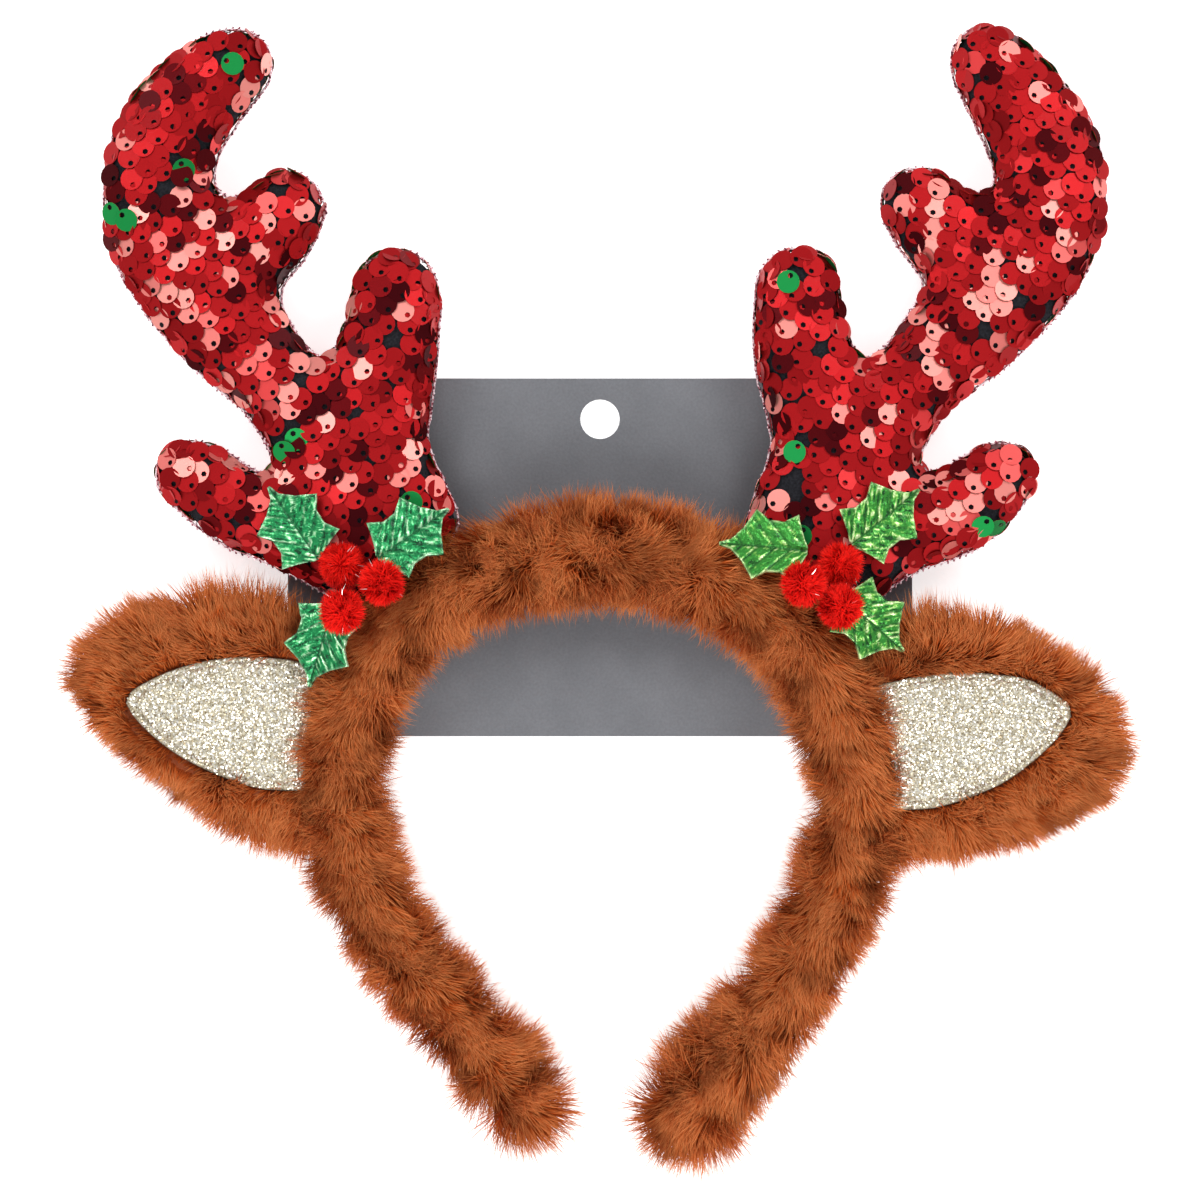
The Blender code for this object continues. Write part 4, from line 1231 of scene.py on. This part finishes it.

# %% [markdown]
# A holly leaf is foil pressed over paper, embossed with a midrib, slanting veins and a net of crinkles. The
# solid already has the scalloped outline and the fold, so a welded copy of it is cut finer and its points are
# moved up and down: the veins by a rule in the leaf's own directions, the crinkles by ridged noise. The same
# marks are stored on the points, and the finish paints shade in the creases, painted highlights on the
# ridges, beside the veins and on the cut edges, and painted glints in streaks.

# %% Foil finishes
# Each row holds painted shade, the foil's own green, and two painted highlights, the last near white.
LEAF_GREENS = {
    "left": (srgb(4, 70, 38), srgb(20, 142, 78), srgb(96, 206, 130), srgb(206, 252, 206)),
    "right": (srgb(16, 74, 24), srgb(54, 146, 50), srgb(140, 210, 92), srgb(226, 252, 184)),
}


def foil_finish(name, deep, middle, bright, white):
    material, tree, shader, place = new_finish(name, Roughness=0.26, Metallic=0.6, Coat_Weight=0.2)
    # Random painted glints, added to the stored painted light and shade of the crinkles.
    glint_flecks = noise_texture(tree, place, 1.1 * MM, 2.0)
    coarse = math_node(tree, "MULTIPLY", attribute(tree, "crinkle_and_painted_light"), 0.8)
    crinkle_and_painted_light = math_node(tree, "ADD", coarse, math_node(tree, "MULTIPLY", glint_flecks, 0.62))
    shades = ramp(
        tree,
        math_node(tree, "SUBTRACT", crinkle_and_painted_light, 0.24),
        [(0.14, deep), (0.32, middle), (0.52, middle), (0.66, bright), (0.84, white)],
    )
    # Painted shade along the midrib and the veins.
    shades = blend_colours(tree, attribute(tree, "crease"), shades, deep)
    # Painted highlight along the cut edges.
    shades = blend_colours(tree, attribute(tree, "raised_edge"), shades, white)
    paint(shader, shades)
    folds = node(
        tree,
        "ShaderNodeTexVoronoi",
        {"Vector": place, "Scale": 1.0 / (1.3 * MM)},
        feature="DISTANCE_TO_EDGE",
    ).outputs["Distance"]
    fine = noise_texture(tree, place, 0.8 * MM, 2.0)
    height = math_node(tree, "ADD", folds, fine)
    bump(tree, shader, height, 0.22 * MM, 0.8)
    return material


leaf_finishes = {side: foil_finish(f"holly_foil_{side}", *LEAF_GREENS[side]) for side in SIDES}

# %% Embossed leaves
LEAF_HEADINGS = {"left": (55, 142, -70), "right": (175, 39, -38)}
LEAF_LENGTH = 22.7 * MM
LEAF_FINE_CUTS = 3
VEIN_PITCH = 4.2 * MM
VEIN_SLANT = 0.9
VEIN_WIDTH = 0.6 * MM
VEIN_DEPTH = 0.35 * MM
CRINKLE_SIZE = 2.6 * MM
CRINKLE_DEPTH = 0.4 * MM
STREAK_WIDTH = 0.8 * MM
STREAK_LENGTH = 2.0 * MM
EDGE_WIDTH = 0.36 * MM
WALL_TURN = 0.5
VEINS_FADE_IN = 4.0
MIDDLE_PAINTED_LIGHT = 0.42
STREAK_MARK = 0.95
CRINKLE_MARK = 0.3
RIB_MARK = 0.55
EDGE_MARK = 0.85
LEAF_CRUSH = {("right", 1): 0.45}


def leaf_axes(mesh, side, degrees):
    """The leaf's stalk, and unit vectors along it, across it and out of its face."""
    points = points_of(mesh)
    heading = math.radians(degrees)
    along = np.array([SIDES[side] * math.cos(heading), math.sin(heading), 0.0])
    centred = points - points.mean(axis=0)
    face = np.linalg.svd(centred, full_matrices=False)[2][2]
    face = face * np.sign(face[2])
    along = along - face * (along @ face)
    along /= np.linalg.norm(along)
    across = np.cross(face, along)
    reach = centred @ along
    stalk = points.mean(axis=0) + along * reach.min()
    return stalk, along, across, face


def nearness(points, marks, width):
    """From 1 at a marked point down to 0 a few widths away from all of them."""
    tree = KDTree(len(marks))
    for index, mark in enumerate(marks):
        tree.insert(mark, index)
    tree.balance()
    far = np.array([tree.find(point)[2] for point in points])
    return np.exp(-((far / width) ** 2))


def emboss(mesh, side, degrees, crinkle_and_painted_light):
    stalk, along, across, face = leaf_axes(mesh, side, degrees)
    points, normals = points_and_normals(mesh)
    u, v = (points - stalk) @ along, (points - stalk) @ across
    midrib = np.exp(-((v / VEIN_WIDTH) ** 2))
    phase = (u - abs(v) * VEIN_SLANT) / VEIN_PITCH
    off = (phase - np.round(phase)) * VEIN_PITCH
    veins = np.exp(-((off / (0.7 * VEIN_WIDTH)) ** 2)) * np.clip(u / LEAF_LENGTH * VEINS_FADE_IN, 0, 1)
    crinkle = np.array([noise.ridged_multi_fractal(p / CRINKLE_SIZE, 0.9, 2.1, 3, 0.8, 2.0) for p in points])
    crinkle = crinkle / max(float(crinkle.max()), 1e-6) - 0.4
    lift = crinkle * crinkle_and_painted_light * CRINKLE_DEPTH * (1 - midrib) - np.maximum(midrib, 0.6 * veins) * VEIN_DEPTH
    # Streaks and the bright lines beside the veins and the midrib are painted glints and highlights.
    slope = (u - abs(v) * VEIN_SLANT) / STREAK_WIDTH
    streaks = np.array([noise.noise((a, b, 3.0 * degrees)) for a, b in zip(slope, v / STREAK_LENGTH)])
    beside = np.exp(-(((off - VEIN_WIDTH) / (0.6 * VEIN_WIDTH)) ** 2))
    beside *= np.clip(abs(v) / VEIN_WIDTH - 1.0, 0, 1)
    rib = np.exp(-(((v - 0.9 * VEIN_WIDTH) / (0.5 * VEIN_WIDTH)) ** 2))
    broken = np.clip(0.55 + 1.4 * streaks, 0.0, 1.0)
    marks = crinkle_and_painted_light * (STREAK_MARK * streaks + CRINKLE_MARK * crinkle)
    marks = marks + RIB_MARK * broken * np.maximum(beside, rib)
    store(mesh, "crinkle_and_painted_light", np.clip(MIDDLE_PAINTED_LIGHT + marks, 0, 1))
    # Painted shade along the midrib and the veins.
    store(mesh, "crease", np.clip(np.maximum(np.exp(-((v / (0.5 * VEIN_WIDTH)) ** 2)), 0.8 * veins), 0, 0.85))
    # Painted highlight along the cut edges.
    walls = points[abs(normals @ face) < WALL_TURN]
    store(mesh, "raised_edge", EDGE_MARK * broken * nearness(points, walls, EDGE_WIDTH))
    move_points(mesh, points + face * lift[:, None])


for side in SIDES:
    for number, degrees in enumerate(LEAF_HEADINGS[side], start=1):
        name = f"holly_leaf_{side}_{number}"
        helper = add_helper("leaf_helper", welded_copy(name))
        mesh = with_modifier(
            helper, "SUBSURF", subdivision_type="SIMPLE", levels=LEAF_FINE_CUTS, render_levels=LEAF_FINE_CUTS
        )
        emboss(mesh, side, degrees, LEAF_CRUSH.get((side, number), 1.0))
        mesh.shade_smooth()
        bpy.data.objects.remove(helper)
        add_piece(f"foil_leaf_{side}_{number}", mesh, leaf_finishes[side], "green_foil", name)

# %% [markdown]
# A berry is a pompom: a ball of short red fibres with a few strands of tinsel among them. The pile tree grows
# it from a small round core, so thick that the core is never seen.

# %% Berry finishes
# As on the fur, the dark roots are painted shade and the pale tips are painted light.
berry_red = fur_finish("pompom_red", srgb(206, 10, 8), srgb(240, 24, 16), srgb(252, 44, 34), srgb(204, 8, 8))
berry_tinsel, tree, shader, _ = new_finish("pompom_tinsel", Roughness=0.15, Metallic=1.0)
tinsel_stops = [(0.0, srgb(235, 120, 120)), (0.6, srgb(255, 244, 240))]
paint(shader, ramp(tree, attribute(tree, "shade"), tinsel_stops))

# %% Berries
BERRY_CORE = 3.5 * MM
BERRY_SEED = 61
TINSEL_SEED = 20
BERRY_PILE = {
    "Strands": 18.0e6, "Length": 3.5 * MM, "Width": 0.34 * MM, "Wander": 0.7, "Ruffle": 0.45,
    "Tuft_Size": 3 * MM, "Lock_Size": 1.2 * MM, "Shortest": 0.7,
}
BERRY_TINSEL = {
    "Strands": 0.12e6, "Length": 3.5 * MM * 1.15, "Width": 0.3 * MM, "Wander": 0.3, "Shortest": 0.85,
}


def ball(centre, radius):
    work = bmesh.new()
    bmesh.ops.create_icosphere(work, subdivisions=3, radius=radius, matrix=Matrix.Translation(centre))
    mesh = plain_mesh(work, "ball")
    count = len(mesh.vertices)
    store(mesh, "pile", np.ones(count))
    store(mesh, "reach", np.ones(count))
    store(mesh, "sweep", np.zeros((count, 3)))
    return mesh


for offset, side in enumerate(SIDES):
    for number in (1, 2, 3):
        name = f"berry_{side}_{number}"
        low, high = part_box(name)
        centre = Vector([(a + b) / 2 for a, b in zip(low, high)])
        helper = add_helper("berry_helper", ball(centre, BERRY_CORE))
        seed = BERRY_SEED + 3 * offset + number
        fuzz = grown_mesh(helper, pile, **BERRY_PILE, Seed=seed, Strand_Finish=berry_red)
        add_piece(f"pompom_{side}_{number}", fuzz, berry_red, "red_pompom", name)
        glints = grown_mesh(
            helper, pile, **BERRY_TINSEL, Seed=seed + TINSEL_SEED, Strand_Finish=berry_tinsel
        )
        add_piece(f"pompom_glints_{side}_{number}", glints, berry_tinsel, "red_pompom", name)
        core = ball(centre, BERRY_CORE)
        add_piece(f"pompom_core_{side}_{number}", core, berry_red, "red_pompom", name)
        bpy.data.objects.remove(helper)

# %% [markdown]
# The card keeps its own solid, since its shape is exact. It only needs the look of uncoated grey board: fine
# fibres and a faint mottle. It is left bare.

# %% Card finish
board, tree, shader, place = new_finish("grey_board", Roughness=0.6)
mottle = noise_texture(tree, place, 14 * MM, 3.0)
fibre = noise_texture(tree, place, 0.7 * MM, 4.0)
base = ramp(tree, mottle, [(0.3, srgb(104, 106, 111)), (0.7, srgb(112, 114, 119))])
grain = ramp(tree, fibre, [(0.3, (0.9, 0.9, 0.9, 1)), (0.7, (1.08, 1.08, 1.08, 1))])
paint(shader, blend_colours(tree, 1.0, base, grain, "MULTIPLY"))
bump(tree, shader, fibre, 0.05 * MM)
card = frame["nodes"]["display_card"]
card.data.materials.clear()
card.data.materials.append(board)

# %% [markdown]
# The photograph's ground is a bright plain white, lit so softly that almost no shadow falls on it. A pale
# floor that glows a little, under a bright sky, does that. Two large soft lamps over the top corners draw the
# bright foils, and one from below fills in.

# %% Floor, lamps and sky
HALF_FLOOR = 1.5
FLOOR_DROP = 0.2 * MM
FLOOR_GLOW = 0.6
SKY_STRENGTH = 0.62
WHITE = (1.0, 1.0, 1.0, 1.0)

floor_mesh = bpy.data.meshes.new("floor")
corners = [(x * HALF_FLOOR, y * HALF_FLOOR, 0.0) for x, y in ((-1, -1), (1, -1), (1, 1), (-1, 1))]
floor_mesh.from_pydata(corners, [], [(0, 1, 2, 3)])
floor = add_helper("floor", floor_mesh)
floor.location.z = -FLOOR_DROP
pale, *_ = new_finish(
    "pale_floor",
    Roughness=0.9,
    Base_Color=(0.92, 0.92, 0.92, 1.0),
    Emission_Color=WHITE,
    Emission_Strength=FLOOR_GLOW,
)
floor_mesh.materials.append(pale)

sky = bpy.data.worlds.new("studio_sky")
sky.use_nodes = True
sky.node_tree.nodes["Background"].inputs["Color"].default_value = WHITE
sky.node_tree.nodes["Background"].inputs["Strength"].default_value = SKY_STRENGTH
bpy.context.scene.world = sky


def soft_lamp(name, place, size, power):
    data = bpy.data.lights.new(name, "AREA")
    data.shape = "SQUARE"
    data.size = size
    data.energy = power
    lamp = bpy.data.objects.new(name, data)
    lamp.location = place
    aim = Vector((0.0, 0.0, 0.0)) - Vector(place)
    lamp.rotation_euler = aim.to_track_quat("-Z", "Y").to_euler()
    bpy.context.scene.collection.objects.link(lamp)


soft_lamp("lamp_upper_left", (-0.75, 0.75, 1.25), 0.6, 6.5)
soft_lamp("lamp_upper_right", (0.75, 0.75, 1.25), 0.6, 6.5)
soft_lamp("lamp_below", (0.0, -1.0, 1.1), 0.8, 11.0)

view = bpy.context.scene.view_settings
view.view_transform = "Standard"
view.look = "None"
